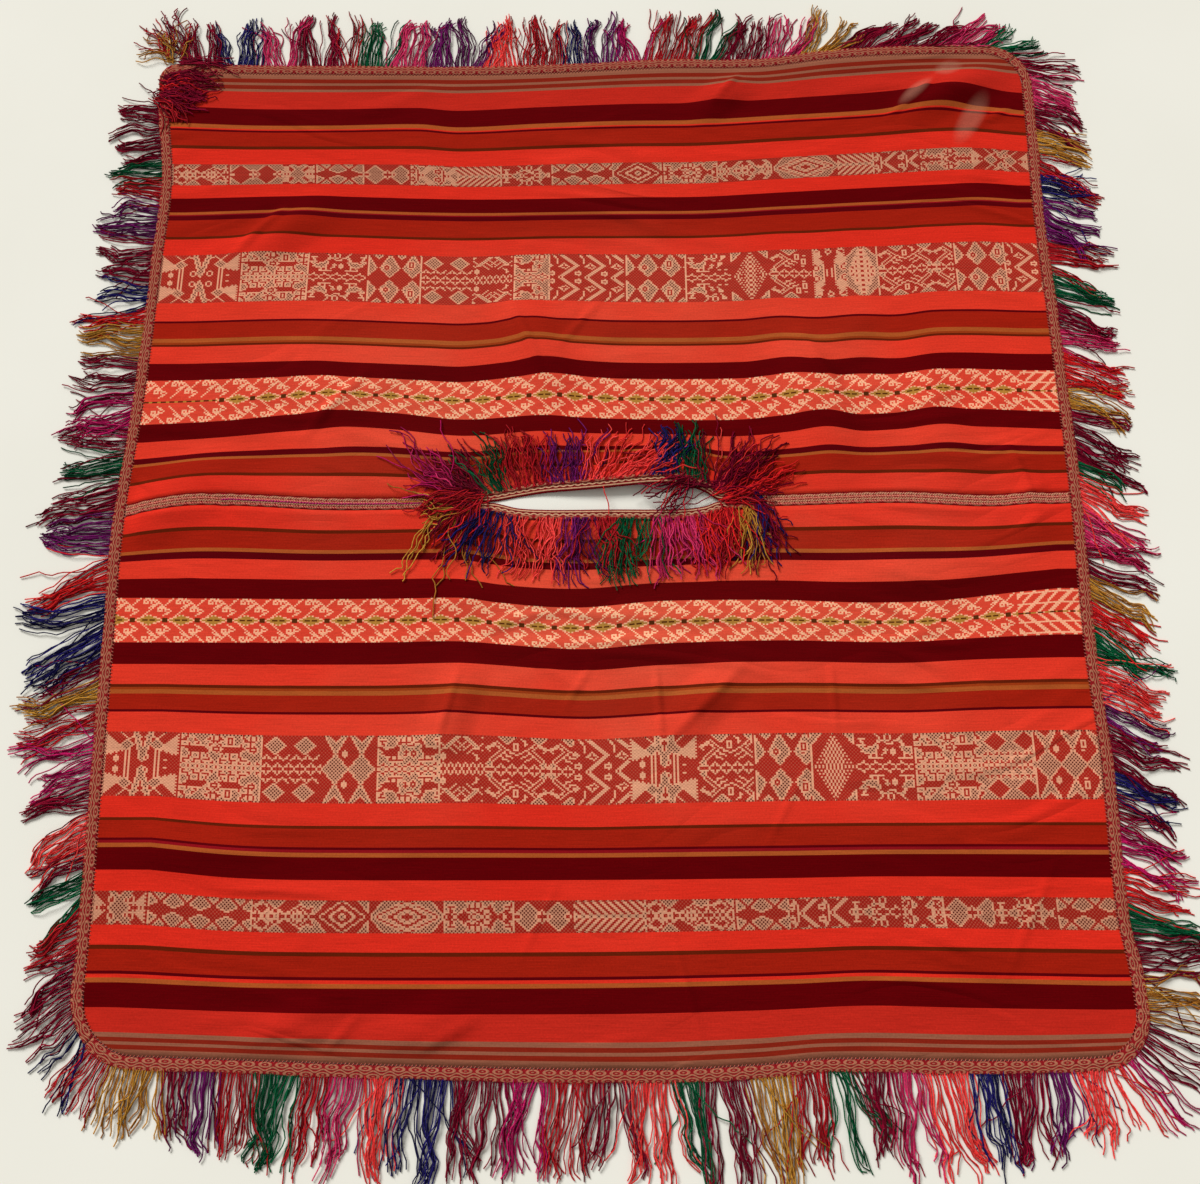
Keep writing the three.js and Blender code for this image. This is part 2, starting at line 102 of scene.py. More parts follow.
left_end = {
    "y": [-706, -560, -400, -200, -75, 0, 150, 360, 500, 600, 705],
    "x": [-616, -616, -622, -629, -634, -634, -627, -625, -624, -638, -648],
}
right_end = {
    "y": [-706, -600, -530, -330, -205, 0, 227, 450, 594, 722],
    "x": [639, 635, 627, 630, 626, 631, 630, 627, 631, 633],
}
upper_selvedge = {
    "x": [-650, -500, -300, -120, 91, 242, 348, 455, 640],
    "y": [688, 685, 683, 684, 695, 697, 712, 720, 721],
}
lower_selvedge = {
    "x": [-620, -480, -230, 40, 170, 260, 480, 645],
    "y": [-690, -694, -702, -706, -701, -694, -696, -690],
}
seam_line = {
    "x": [-640, -530, -365, -190, 215, 400, 520, 640],
    "y": [-13, 3, -3, 0, 3, 8, 3, 8],
}
neck_slit = {
    "x": [-190, -165, -140, -110, -75, -35, 0, 35, 70, 110, 140, 158, 185, 215],
    "up": [0.2, 0.2, 1.5, 7, 12, 14, 16, 19, 22, 22, 12, 1.5, 0.2, 0.2],
    "down": [0.2, 0.2, 1.5, 9, 12, 13, 13, 13, 13, 12, 8, 1.5, 0.2, 0.2],
    "wide": [8, 11, 14, 14, 14, 14, 14, 14, 14, 14, 14, 14, 11, 8],
}
corner_radius = {"upper left": 14, "lower left": 70, "upper right": 55, "lower right": 52}
SLIT_START, SLIT_END = neck_slit["x"][0], neck_slit["x"][-1]
SIDE = {"upper": 1, "lower": -1}

# %% Smooth lines through the tables
def through(table, key, value):
    """Returns a function that gives one column of a table against another."""
    places = np.array(table[key], float)
    values = np.array(table[value], float)
    before = np.maximum(np.arange(len(places)) - 1, 0)
    after = np.minimum(np.arange(len(places)) + 1, len(places) - 1)
    slopes = (values[after] - values[before]) / (places[after] - places[before])

    def line(at):
        place = np.clip(at, places[0], places[-1])
        b = np.clip(np.searchsorted(places, place), 1, len(places) - 1)
        a = b - 1
        span = places[b] - places[a]
        t = (place - places[a]) / span
        ease = t * t * (3 - 2 * t)
        bend = slopes[a] * span * t * (1 - t) ** 2 - slopes[b] * span * t * t * (1 - t)
        return values[a] + (values[b] - values[a]) * ease + bend

    return line


left_x = through(left_end, "y", "x")
right_x = through(right_end, "y", "x")
top_y = through(upper_selvedge, "x", "y")
bottom_y = through(lower_selvedge, "x", "y")
seam_y = through(seam_line, "x", "y")
lip_up = through(neck_slit, "x", "up")
lip_down = through(neck_slit, "x", "down")
border_wide = through(neck_slit, "x", "wide")
seam_left_end = float(left_x(0))
seam_right_end = float(right_x(0))


def walked_along(path):
    """How far each point of a path is from its start."""
    return np.concatenate([[0], np.cumsum(np.linalg.norm(np.diff(path, axis=0), axis=1))])


def in_metres(points):
    """Moves points in millimetres from the neck to the frame's origin, in metres."""
    moved = np.array(points, float)
    moved[..., :2] += NECK_FROM_ORIGIN
    return moved * MM


print("cloth along its seam, mm:", round(seam_right_end - seam_left_end))

# %% [markdown]
# ## The folds
# Cloth that is shaken out and laid down keeps broad swells and a few sharp creases. A simulation
# would put them anywhere, so they are listed: a row holds the middle, the direction of the
# ridge, half its length, half its width and its height. A negative height is a trough. They die
# out towards the edge band, which lies flat on the floor and holds the cloth down.

# %% Folds and creases
FOLD_COLUMNS = ("x", "y", "turn", "long", "wide", "rise")
main_folds = [
    (-561, 12, 28, 130, 62, 9),
    (-385, 25, 8, 170, 58, 7),
    (-364, 140, -55, 115, 52, 8),
    (-90, 240, -62, 120, 48, 10),
    (300, 150, -72, 135, 52, 11),
    (460, 120, -70, 135, 50, 9),
    (45, 30, 3, 170, 60, 11),
    (0, -34, 0, 180, 46, 4),
    (400, -95, 6, 150, 50, 6),
    (-170, -135, -16, 110, 42, 6),
    (520, 652, 25, 115, 42, 13),
    (183, 647, 39, 75, 36, 8),
    (-456, 413, 34, 110, 44, 9),
    (-188, -280, 72, 80, 38, 8),
    (131, -270, 43, 100, 38, 9),
    (569, 15, -78, 90, 40, 6),
    (-371, -664, 24, 85, 38, 8),
    (-212, -662, 20, 85, 38, 7),
    (446, -566, -27, 90, 38, 7),
    (-499, -456, -4, 135, 42, 6),
]
creases = [
    (-193, -272, 75, 66, 9, 3.1),
    (-27, -248, 58, 49, 8, 2.2),
    (75, -275, -86, 68, 8, 3.2),
    (135, -271, 44, 96, 9, 3.7),
    (-48, -239, -32, 75, 8, 2.5),
    (298, -261, -88, 57, 8, 2.0),
    (502, -267, -58, 56, 9, 2.4),
    (-103, 245, -66, 84, 11, 3.7),
    (-27, 270, 50, 64, 9, 2.7),
    (-486, 418, 48, 78, 11, 4.1),
    (-508, 1, -45, 63, 11, -2.7),
    (473, 649, 42, 79, 8, 4.4),
    (577, 605, 30, 60, 8, 2.7),
    (190, 660, 50, 54, 8, 3.4),
    (-304, -666, 46, 41, 8, 3.1),
    (-179, -668, 28, 58, 8, 3.7),
    (-363, -667, 22, 65, 8, -2.4),
    (307, 204, -60, 71, 12, 3.1),
    (568, 39, -73, 84, 11, 2.7),
    (-364, 144, 50, 91, 12, 3.4),
    (-449, -459, -4, 89, 9, 2.9),
    (105, -617, -74, 83, 7, 1.7),
    (-73, -537, 63, 70, 7, 1.5),
    (425, -566, -23, 78, 8, 2.2),
    (-300, 88, -15, 89, 11, 2.5),
    (-428, -215, -49, 88, 8, 1.5),
    (414, -108, -26, 81, 9, 2.0),
    (0, 267, -9, 75, 8, -2.0),
    (-150, -378, -63, 77, 8, 1.5),
    (237, -393, 61, 102, 7, 1.5),
    (522, -536, 61, 111, 8, 1.7),
    (-533, -108, -24, 86, 9, 2.0),
]
EDGE_MARGIN = 26


def smooth_step(value, start, end):
    t = np.clip((value - start) / (end - start), 0, 1)
    return t * t * (3 - 2 * t)


def bump(distance):
    inside = np.maximum(0, 1 - distance * distance)
    return inside * inside


def lift(x, y):
    """How high the underside of the cloth stands over the floor at places in millimetres."""
    height = np.zeros(np.broadcast(x, y).shape)
    for row in main_folds + creases:
        fold = dict(zip(FOLD_COLUMNS, row))
        turn = math.radians(fold["turn"])
        dx = x - fold["x"]
        dy = y - fold["y"]
        along = dx * math.cos(turn) + dy * math.sin(turn)
        across = dy * math.cos(turn) - dx * math.sin(turn)
        height = height + fold["rise"] * bump(along / fold["long"]) * bump(across / fold["wide"])
    from_ends = np.minimum(x - left_x(y), right_x(y) - x)
    from_edge = np.minimum(from_ends, np.minimum(y - bottom_y(x), top_y(x) - y))
    return np.maximum(height, 0) * smooth_step(from_edge, 0, EDGE_MARGIN)


print("highest fold under the slit's upper lip, mm:", round(float(lift(45, 40)), 1))

# %% [markdown]
# ## The wools
# The weaver used about twenty dyed wools. Each is given here once, by the shade that it shows in
# daylight, and turned into the linear numbers that Blender's shaders work with.

# %% Wool shades
def shade(red, green, blue):
    share = np.array([red, green, blue]) / 255
    linear = np.where(share <= 0.04045, share / 12.92, ((share + 0.055) / 1.055) ** 2.4)
    return (*linear.tolist(), 1.0)


wool = {
    "scarlet": shade(215, 43, 28),
    "coral": shade(220, 53, 35),
    "dull scarlet": shade(190, 39, 27),
    "brick": shade(158, 29, 13),
    "brown": shade(96, 28, 8),
    "orange": shade(150, 54, 18),
    "ochre": shade(168, 80, 34),
    "wine": shade(88, 2, 9),
    "maroon": shade(92, 1, 5),
    "magenta": shade(138, 14, 24),
    "tan": shade(146, 88, 66),
    "faded red": shade(132, 34, 19),
    "pattern red": shade(166, 31, 22),
    "pattern tan": shade(226, 158, 124),
    "pebbled tan": shade(206, 140, 110),
    "pebble": shade(84, 26, 18),
    "hook coral": shade(216, 64, 45),
    "hook tan": shade(246, 176, 138),
    "olive": shade(176, 122, 50),
    "knot": shade(88, 42, 14),
}
print("wools in the cloth:", len(wool))

# %% [markdown]
# ## The order of the stripes
# Warp stripes are planned as distances from the seam. The two panels were woven apart, so the same
# stripe differs by some millimetres between them. A row gives the wool and where its stripe ends
# on the lower and on the upper panel. Three stripes of each panel are patterned.

# %% Stripe table
STRIPE_COLUMNS = ("wool", "lower", "upper")
stripe_rows = [
    ("scarlet", 36.1, 37.3),
    ("brown", 41.0, 42.3),
    ("brick", 64.0, 66.3),
    ("ochre", 68.9, 70.6),
    ("wine", 78.6, 79.4),
    ("coral", 104.8, 105.9),
    ("maroon", 131.4, 131.1),
    ("hooks", 189.9, 186.8),
    ("maroon", 219.0, 210.5),
    ("coral", 246.4, 236.7),
    ("brown", 250.4, 239.8),
    ("orange", 253.6, 242.9),
    ("ochre", 259.4, 249.1),
    ("brick", 280.7, 273.2),
    ("wine", 283.9, 276.4),
    ("coral", 310.7, 304.7),
    ("wide band", 395.2, 381.6),
    ("scarlet", 422.7, 407.7),
    ("brown", 426.4, 411.8),
    ("brick", 448.8, 439.0),
    ("wine", 451.8, 446.1),
    ("magenta", 455.4, 448.1),
    ("ochre", 460.8, 452.3),
    ("maroon", 487.7, 474.8),
    ("scarlet", 511.3, 495.8),
    ("narrow band", 548.7, 529.7),
    ("scarlet", 570.6, 555.4),
    ("brown", 575.2, 560.6),
    ("brick", 598.6, 584.8),
    ("wine", 602.0, 588.2),
    ("scarlet", 606.0, 590.4),
    ("ochre", 611.1, 596.9),
    ("maroon", 639.2, 625.8),
    ("dull scarlet", 668.7, 656.7),
    ("tan", 674.2, 661.2),
    ("faded red", 679.2, 668.3),
    ("tan", 683.0, 672.8),
    ("faded red", 688.5, 679.9),
    ("tan", 696.2, 688.9),
]
FIRST_STRIPE_START = 8.5
ROWS_IN_BAND = {"hooks": 29, "wide band": 42, "narrow band": 18}
WIDEST_ROW = 8

# %% Where the dark stripes run
# The four dark stripes of each panel wander a little, and the other stripes run between them.
# "from seam" is the middle of the dark stripe on the flat cloth.
dark_stripes = {
    "upper": [
        {"from seam": 118.5,
         "x": [-627, -519, -411, -301, -191, -82, -27, 80, 191, 301, 356, 466, 521, 630],
         "y": [98, 105, 117, 120, 108, 114, 110, 107, 107, 119, 115, 123, 123, 118]},
        {"from seam": 198.7,
         "x": [-582, -416, -249, -194, -83, 28, 194, 250, 305, 361, 417, 473, 584],
         "y": [193, 197, 191, 189, 201, 195, 196, 202, 198, 203, 201, 210, 208]},
        {"from seam": 463.5,
         "x": [-609, -435, -261, -145, 29, 145, 261, 378, 495, 553, 611],
         "y": [457, 462, 457, 456, 459, 460, 467, 474, 480, 483, 479]},
        {"from seam": 611.4,
         "x": [-624, -506, -386, -267, -208, -89, 30, 149, 268, 388, 508, 568, 627],
         "y": [614, 608, 608, 611, 605, 612, 617, 619, 627, 635, 647, 643, 635]},
    ],
    "lower": [
        {"from seam": 118.1,
         "x": [-604, -394, -184, -131, -26, 79, 236, 341, 446, 552, 605],
         "y": [-119, -121, -121, -128, -133, -124, -123, -127, -124, -111, -105]},
        {"from seam": 204.5,
         "x": [-594, -287, -181, -26, 77, 233, 388, 491, 595],
         "y": [-207, -207, -205, -215, -208, -203, -205, -200, -197]},
        {"from seam": 474.3,
         "x": [-566, -467, -368, -25, 221, 368, 614],
         "y": [-464, -474, -477, -477, -475, -473, -474]},
        {"from seam": 625.2,
         "x": [-596, -405, -24, 215, 310, 405, 596],
         "y": [-624, -630, -630, -625, -621, -623, -627]},
    ],
}
print("stripes in each panel:", len(stripe_rows))

# %% [markdown]
# ## A grid for each panel
# A patterned band on this cloth is made of small woven steps. A picture could be laid on a flat
# sheet, but then the steps would belong to the picture. Here the sheet's own faces are the steps:
# its rows follow the stripes, its columns are a pitch apart, and each face gets one wool.

# %% Rows and columns of the grid
COLUMN_PITCH = 2.36
column_count = int(round((seam_right_end - seam_left_end) / COLUMN_PITCH))
column_x = np.linspace(seam_left_end, seam_right_end, column_count + 1)
middle_x = (column_x[1:] + column_x[:-1]) / 2
SEAM_HALF = 8.2
GAP = 0.3
CORNER_SQUEEZE = 1.2


def rows_of(panel):
    """Row lines of a panel as distances from the seam, and the stripe that each row is in."""
    lines = [FIRST_STRIPE_START]
    stripe_of_row = []
    for number, row in enumerate(stripe_rows):
        stripe = dict(zip(STRIPE_COLUMNS, row))
        start, end = lines[-1], stripe[panel]
        count = ROWS_IN_BAND.get(stripe["wool"], math.ceil((end - start) / WIDEST_ROW))
        lines += np.linspace(start, end, count + 1)[1:].tolist()
        stripe_of_row += [number] * count
    return np.array(lines), np.array(stripe_of_row)


def corner_drop(from_end, radius):
    inside = np.maximum(0, radius - from_end)
    return radius - np.sqrt(np.maximum(0, radius * radius - inside * inside))


def rim_y(x, side):
    """The cloth's edge along a selvedge, with its rounded corners; side is 1 above, -1 below."""
    outer = top_y if side > 0 else bottom_y
    place = "upper" if side > 0 else "lower"
    drop = corner_drop(x - seam_left_end, corner_radius[place + " left"])
    drop = drop + corner_drop(seam_right_end - x, corner_radius[place + " right"])
    return outer(x) - side * drop


def inner_y(x, side):
    """The cloth's edge beside the seam, or beside the neck's border."""
    lip = lip_up if side > 0 else lip_down
    at_neck = (x >= SLIT_START) & (x <= SLIT_END)
    return seam_y(x) + side * (np.where(at_neck, lip(x) + border_wide(x), SEAM_HALF) + GAP)


def panel_grid(panel):
    """Places of a panel's grid points, column by column, in millimetres."""
    side = SIDE[panel]
    lines, _ = rows_of(panel)
    outer = top_y if side > 0 else bottom_y
    knots = [FIRST_STRIPE_START] + [row["from seam"] for row in dark_stripes[panel]] + [lines[-1]]
    heights = [inner_y(column_x, side)]
    heights += [through(row, "x", "y")(column_x) for row in dark_stripes[panel]]
    heights += [outer(column_x)]
    heights = np.stack(heights)
    flat = np.stack([np.interp(lines, knots, heights[:, c]) for c in range(len(column_x))])
    edge = rim_y(column_x, side)[:, None]
    inside = side * (edge - flat) / CORNER_SQUEEZE
    y = edge - side * CORNER_SQUEEZE * np.logaddexp(0, inside)
    y[:, -1] = edge[:, 0]
    share = ((column_x - seam_left_end) / (seam_right_end - seam_left_end))[:, None]
    x = left_x(y) + (right_x(y) - left_x(y)) * share
    return x, y


row_count = {panel: len(rows_of(panel)[0]) - 1 for panel in SIDE}
print("columns:", column_count, "rows:", row_count)

# %% [markdown]
# ## Drawing the patterned bands
# Andean warp bands are filled with small compartments of birds, beasts, rings, lozenges and nested
# triangles, mirrored about the band's middle. Light and dark change places in some compartments.
# These are traditional forms, and the ones below are plain versions drawn for this lesson. They
# could be typed as charts, but slanting lines are easier to give by their corners. Two helpers
# mark the cells that a line passes or that a shape holds.

# %% Lines and shapes on cells
def line_of(cells, *points):
    """Marks one cell for each step along a line through points given as column and row."""
    columns, rows = cells.shape
    for (x0, y0), (x1, y1) in zip(points, points[1:]):
        count = int(max(abs(x1 - x0), abs(y1 - y0))) + 2
        i = np.round(np.linspace(x0, x1, count)).astype(int)
        h = np.round(np.linspace(y0, y1, count)).astype(int)
        inside = (i >= 0) & (i < columns) & (h >= 0) & (h < rows)
        cells[i[inside], h[inside]] = True


def shape_of(cells, *points):
    """Marks the cells inside a shape given by its corners."""
    i, h = np.indices(cells.shape)
    inside = np.zeros(cells.shape, bool)
    for (x0, y0), (x1, y1) in zip(points, points[1:] + points[:1]):
        if y0 != y1:
            crossing = ((y0 > h) != (y1 > h)) & (i < (x1 - x0) * (h - y0) / (y1 - y0) + x0)
            inside ^= crossing
    cells |= inside


# %% Figures
# A figure has shapes and lines in its own columns and rows, with its feet at row 0.
figures = {
    "bird": {
        "shapes": [[(2, 4), (7, 8), (12, 7), (10, 3), (6, 2)], [(3, 4), (-1, 9), (1, 9), (5, 6)],
                   [(9, 8), (12, 13), (14, 11), (11, 9), (12, 7)]],
        "lines": [[(14, 11), (17, 9)], [(7, 3), (6, 0), (9, 0)], [(10, 3), (10, 0), (13, 0)],
                  [(12, 13), (10, 15)], [(4, 8), (1, 12), (4, 12)]],
    },
    "beast": {
        "shapes": [[(1, 6), (12, 6), (14, 9), (12, 10), (3, 9)]],
        "lines": [[(12, 10), (14, 14), (17, 13), (17, 10), (14, 8)], [(3, 6), (1, 1), (4, 1)],
                  [(6, 6), (6, 1), (9, 1)], [(11, 6), (12, 1), (15, 1)],
                  [(2, 9), (-1, 12), (1, 15), (3, 13)], [(14, 14), (13, 17)]],
    },
    "antlers": {
        "shapes": [[(0, 0), (2, 3), (4, 0), (2, -3)]],
        "lines": [[(2, 3), (8, 9), (5, 12), (2, 10)], [(4, 2), (11, 9), (6, 14), (0, 10), (2, 8)],
                  [(7, 5), (12, 2)], [(9, 7), (14, 4)], [(11, 9), (16, 6)]],
    },
    "ring": {
        "shapes": [],
        "lines": [[(0, 1), (1.5, 0), (3, 1), (3, 3), (1.5, 4), (0, 3), (0, 1)]],
    },
}
FIGURE_WIDE = 16


def draw(cells, name, x, level, turned=False):
    """Draws a figure with its first column at x and its feet at level."""
    def placed(points):
        return [(x + (FIGURE_WIDE - px if turned else px), level + py) for px, py in points]

    for points in figures[name]["shapes"]:
        shape_of(cells, *placed(points))
    for points in figures[name]["lines"]:
        line_of(cells, *placed(points))


def middle_chain(cells, wide, pitch=7):
    """Small half diamonds along the band's middle, which the mirror makes whole."""
    for x in range(0, wide, pitch):
        line_of(cells, (x, 0), (x + pitch / 2, 2.6), (x + pitch, 0))


# %% [markdown]
# Each form fills the upper half of one compartment. Row 0 is the band's middle line, and the rows
# above it are mirrored below, so a form only has to be drawn once. A form could also be stored as
# cells, but a function fits itself to a wide, a narrow, a long or a short compartment.

# %% Forms of triangles and lozenges
def hatched_corner(cells, edge, side, half, lines):
    """Parallel lines in a triangle that leans on a compartment's side."""
    for k in range(lines):
        run = (2 * lines - 2 * k) / 1.4
        level = half - 2 - 2 * k
        line_of(cells, (edge, level), (edge + side * run, level - run))


def nested(cells, wide, half):
    i, h = np.indices(cells.shape)
    nest = np.abs(i - wide / 2) * half / max(wide * 0.42, 1) + h
    cells |= (nest < half) & (nest % 4 < 1.5)
    for edge, side in ((0, 1), (wide, -1)):
        shape_of(cells, (edge, half), (edge + side * 7, half), (edge, half - 9))


# %% Forms with figures
def birds(cells, wide, half):
    for number, x in enumerate(range(1, wide - 8, 19)):
        draw(cells, "bird", x, half - 16, turned=number % 2 > 0)
        draw(cells, "ring", x + 15, half - 5)
    middle_chain(cells, wide)


def beasts(cells, wide, half):
    for number, x in enumerate(range(1, wide - 8, 20)):
        draw(cells, "beast", x, half - 18, turned=number % 2 == 0)
        draw(cells, "ring", x + 17, half - 12)
        draw(cells, "ring", x + 17, half - 5)
    middle_chain(cells, wide, 5)


def crossing(cells, wide, half):
    middle = wide / 2
    for side in (-1, 1):
        edge = middle + side * middle
        hatched_corner(cells, edge - (side > 0), -side, half, min(7, half // 2))
        knee = edge - side * 12
        shape_of(cells, (knee - 4, half - 9), (knee, half - 5), (knee + 4, half - 9),
                 (knee, half - 13))
        line_of(cells, (knee - 1, half - 12), (knee - 1, 0))
        line_of(cells, (knee + 1, half - 12), (knee + 1, 0))
        line_of(cells, (knee, half - 6), (knee - side * 4, half - 2), (knee - side * 7, half - 4))
        line_of(cells, (knee, half - 5), (knee + side * 4, half - 1))
        draw(cells, "ring", knee - side * 7 - 1, 2)
    shape_of(cells, (middle - 6, half), (middle - 3, half), (middle + 2, 4), (middle, 0),
             (middle - 2, 4))
    shape_of(cells, (middle + 6, half), (middle + 3, half), (middle - 2, 4), (middle, 0),
             (middle + 2, 4))


def lozenges(cells, wide, half):
    for x in range(2, wide - 4, 16):
        shape_of(cells, (x, half - 7), (x + 6, half - 1), (x + 12, half - 7), (x + 6, half - 13))
        line_of(cells, *[(x - 2 + k * 3, half - 16 + (k % 2) * 3) for k in range(6)])
    middle_chain(cells, wide, 6)


def antlers(cells, wide, half):
    for number, x in enumerate(range(1, wide - 10, 17)):
        draw(cells, "antlers", x, 3 if half > 12 else -5, turned=number % 2 > 0)
        shape_of(cells, (x + 6, half), (x + 12, half - 6), (x + 17, half))
    middle_chain(cells, wide, 6)


def frets(cells, wide, half):
    for x in range(-10, wide, 16):
        for gap in (0, 2):
            line_of(cells, (x + gap, 0), (x + 10 + gap, 10), (x + gap, half - 1))
        line_of(cells, (x + 4, 7), (x + 6, 9), (x + 3, 12), (x, 9), (x + 3, 8))
        line_of(cells, (x + 12, half - 1), (x + 15, half - 5), (x + 15, half - 9))
        draw(cells, "ring", x + 10, 1)


def combs(cells, wide, half):
    middle = wide / 2
    for side in (-1, 1):
        for x in range(0, int(middle), 10):
            at = middle + side * x
            shape_of(cells, (at, half - 1), (at + side * 3, half - 1), (at + side * 10, half - 9),
                     (at + side * 7, half - 9))
            for tooth in range(3):
                foot = (at + side * (2 + tooth * 2), half - 5 - tooth * 2)
                line_of(cells, foot, (foot[0] - side * 3, foot[1] - 3))
    middle_chain(cells, wide, 4)


def arrows(cells, wide, half):
    i, h = np.indices(cells.shape)
    cells |= ((i + h) % 4 < 1.6) & (h > 0)


def steps(cells, wide, half):
    """Solid triangles with a hole, point to point, as in pebble weave."""
    for x in range(0, wide, 14):
        shape_of(cells, (x, half), (x + 14, half), (x + 7, half * 0.35))
        shape_of(cells, (x, 0), (x + 7, half * 0.45), (x + 14, 0))
        hole = np.zeros_like(cells)
        shape_of(hole, (x + 4, half - 1), (x + 7, half - 5), (x + 10, half - 1), (x + 7, half + 2))
        cells &= ~hole


# %% Small marks in what is left empty
def fill_gaps(cells, wide, half):
    """Puts a small ring, cross or hook wherever a compartment is still empty."""
    marks = (
        [(1, 0), (2, 1), (2, 3), (1, 4), (0, 3), (0, 1), (1, 0)],
        [(0, 0), (3, 3), (2, 4), (1, 3)],
        [(1, 1), (2, 1)],
        [(0, 4), (3, 1), (2, 0)],
    )
    for i in range(1, wide - 4):
        for h in range(1, half - 5):
            if not cells[i - 1:i + 5, h - 1:h + 6].any():
                line_of(cells, *[(i + x, h + y) for x, y in marks[(i * 7 + h * 5) % 4]])


forms = {form.__name__: form for form in (
    nested, birds, beasts, crossing, lozenges, antlers, frets, combs, arrows, steps)}
print("forms for the bands:", ", ".join(forms))

# %% Compartments along the bands
# A row gives where a compartment starts along the band, its form, and the wool of its ground.
compartments = {
    ("upper", "wide band"): [
        (-640, "crossing", "red"), (-520, "beasts", "tan"), (-423, "birds", "red"),
        (-339, "steps", "tan"), (-260, "lozenges", "red"), (-185, "combs", "red"),
        (-130, "birds", "tan"), (-76, "frets", "red"), (32, "steps", "tan"),
        (119, "birds", "red"), (185, "nested", "red"), (239, "antlers", "red"),
        (301, "crossing", "tan"), (350, "nested", "tan"), (396, "antlers", "red"),
        (507, "steps", "tan"), (578, "frets", "red"),
    ],
    ("lower", "wide band"): [
        (-640, "crossing", "red"), (-540, "beasts", "tan"), (-436, "lozenges", "red"),
        (-358, "steps", "red"), (-290, "birds", "tan"), (-210, "combs", "red"),
        (-152, "antlers", "red"), (-36, "frets", "red"), (33, "crossing", "red"),
        (120, "antlers", "red"), (190, "steps", "tan"),
        (264, "nested", "red"), (320, "birds", "red"), (393, "beasts", "tan"),
        (480, "lozenges", "tan"), (545, "steps", "red"),
    ],
    ("upper", "narrow band"): [
        (-640, "antlers", "red"), (-552, "lozenges", "tan"), (-474, "crossing", "red"),
        (-425, "steps", "tan"), (-352, "lozenges", "red"), (-285, "frets", "tan"),
        (-215, "arrows", "tan"), (-150, "birds", "red"), (-78, "steps", "tan"),
        (15, "nested", "red"), (88, "birds", "tan"), (168, "combs", "red"),
        (250, "nested", "tan"), (348, "arrows", "tan"), (400, "frets", "red"),
        (468, "beasts", "tan"), (546, "crossing", "red"),
    ],
    ("lower", "narrow band"): [
        (-640, "crossing", "red"), (-567, "steps", "tan"), (-437, "antlers", "red"),
        (-360, "nested", "red"), (-291, "nested", "tan"), (-200, "birds", "tan"),
        (-115, "lozenges", "red"), (-42, "arrows", "tan"), (49, "antlers", "red"),
        (158, "steps", "tan"), (224, "frets", "red"), (300, "birds", "red"),
        (364, "crossing", "tan"), (416, "lozenges", "red"), (480, "birds", "red"),
        (556, "steps", "tan"),
    ],
}


def paint_band(panel, band):
    """Light cells of a patterned band, columns by rows, row 0 nearest to the seam."""
    half = ROWS_IN_BAND[band] // 2
    light = np.zeros((column_count, 2 * half), bool)
    table = compartments[panel, band]
    starts = np.searchsorted(middle_x, [row[0] for row in table]).tolist() + [column_count]
    for number, (_, form, ground) in enumerate(table):
        start, end = starts[number:number + 2]
        wide = end - start
        cells = np.zeros((wide, half), bool)
        forms[form](cells, wide, half)
        fill_gaps(cells, wide, half)
        if ground == "tan":
            cells = ~cells
        if number == 0 or table[number - 1][2] != ground:
            cells[0] = ground == "red"
        light[start:end, half:] = cells
        light[start:end, :half] = cells[:, ::-1]
    return light


for key in compartments:
    print(key, "light share", round(float(paint_band(*key).mean()), 2))

# %% [markdown]
# ## The scroll band
# Next to the seam each panel has a band of slanting scrolls, mirrored about a chain of small olive
# diamonds tied by dark knots. It repeats every 18 columns, so one scroll is given by its corners,
# with column 0 at the middle of a diamond, and is copied along the band and, half a repeat on,
# towards its edge. The last columns hold another pattern, where the weaver tried one out before
# the cloth was cut from the loom.

# %% Scroll band
SCROLL_REPEAT = 18
SCROLL = [(9, 6), (9, 8), (7, 9), (5, 8), (5, 6), (7, 6), (7, 7)]
ARROW = [(2, 14), (12, 6), (8, 3)]
STROKE = [(-3, 3), (5, 11)]
OUTER_SCROLL = (10, 5.1)
DIAMOND = {"slope": 0.45, "rim": 3.9, "heart": 3.1}
CHAIN_STARTS = {"upper": -535, "lower": -700}
TRIAL_STARTS = {"upper": 585, "lower": 548}
TRIAL_PITCH = 7


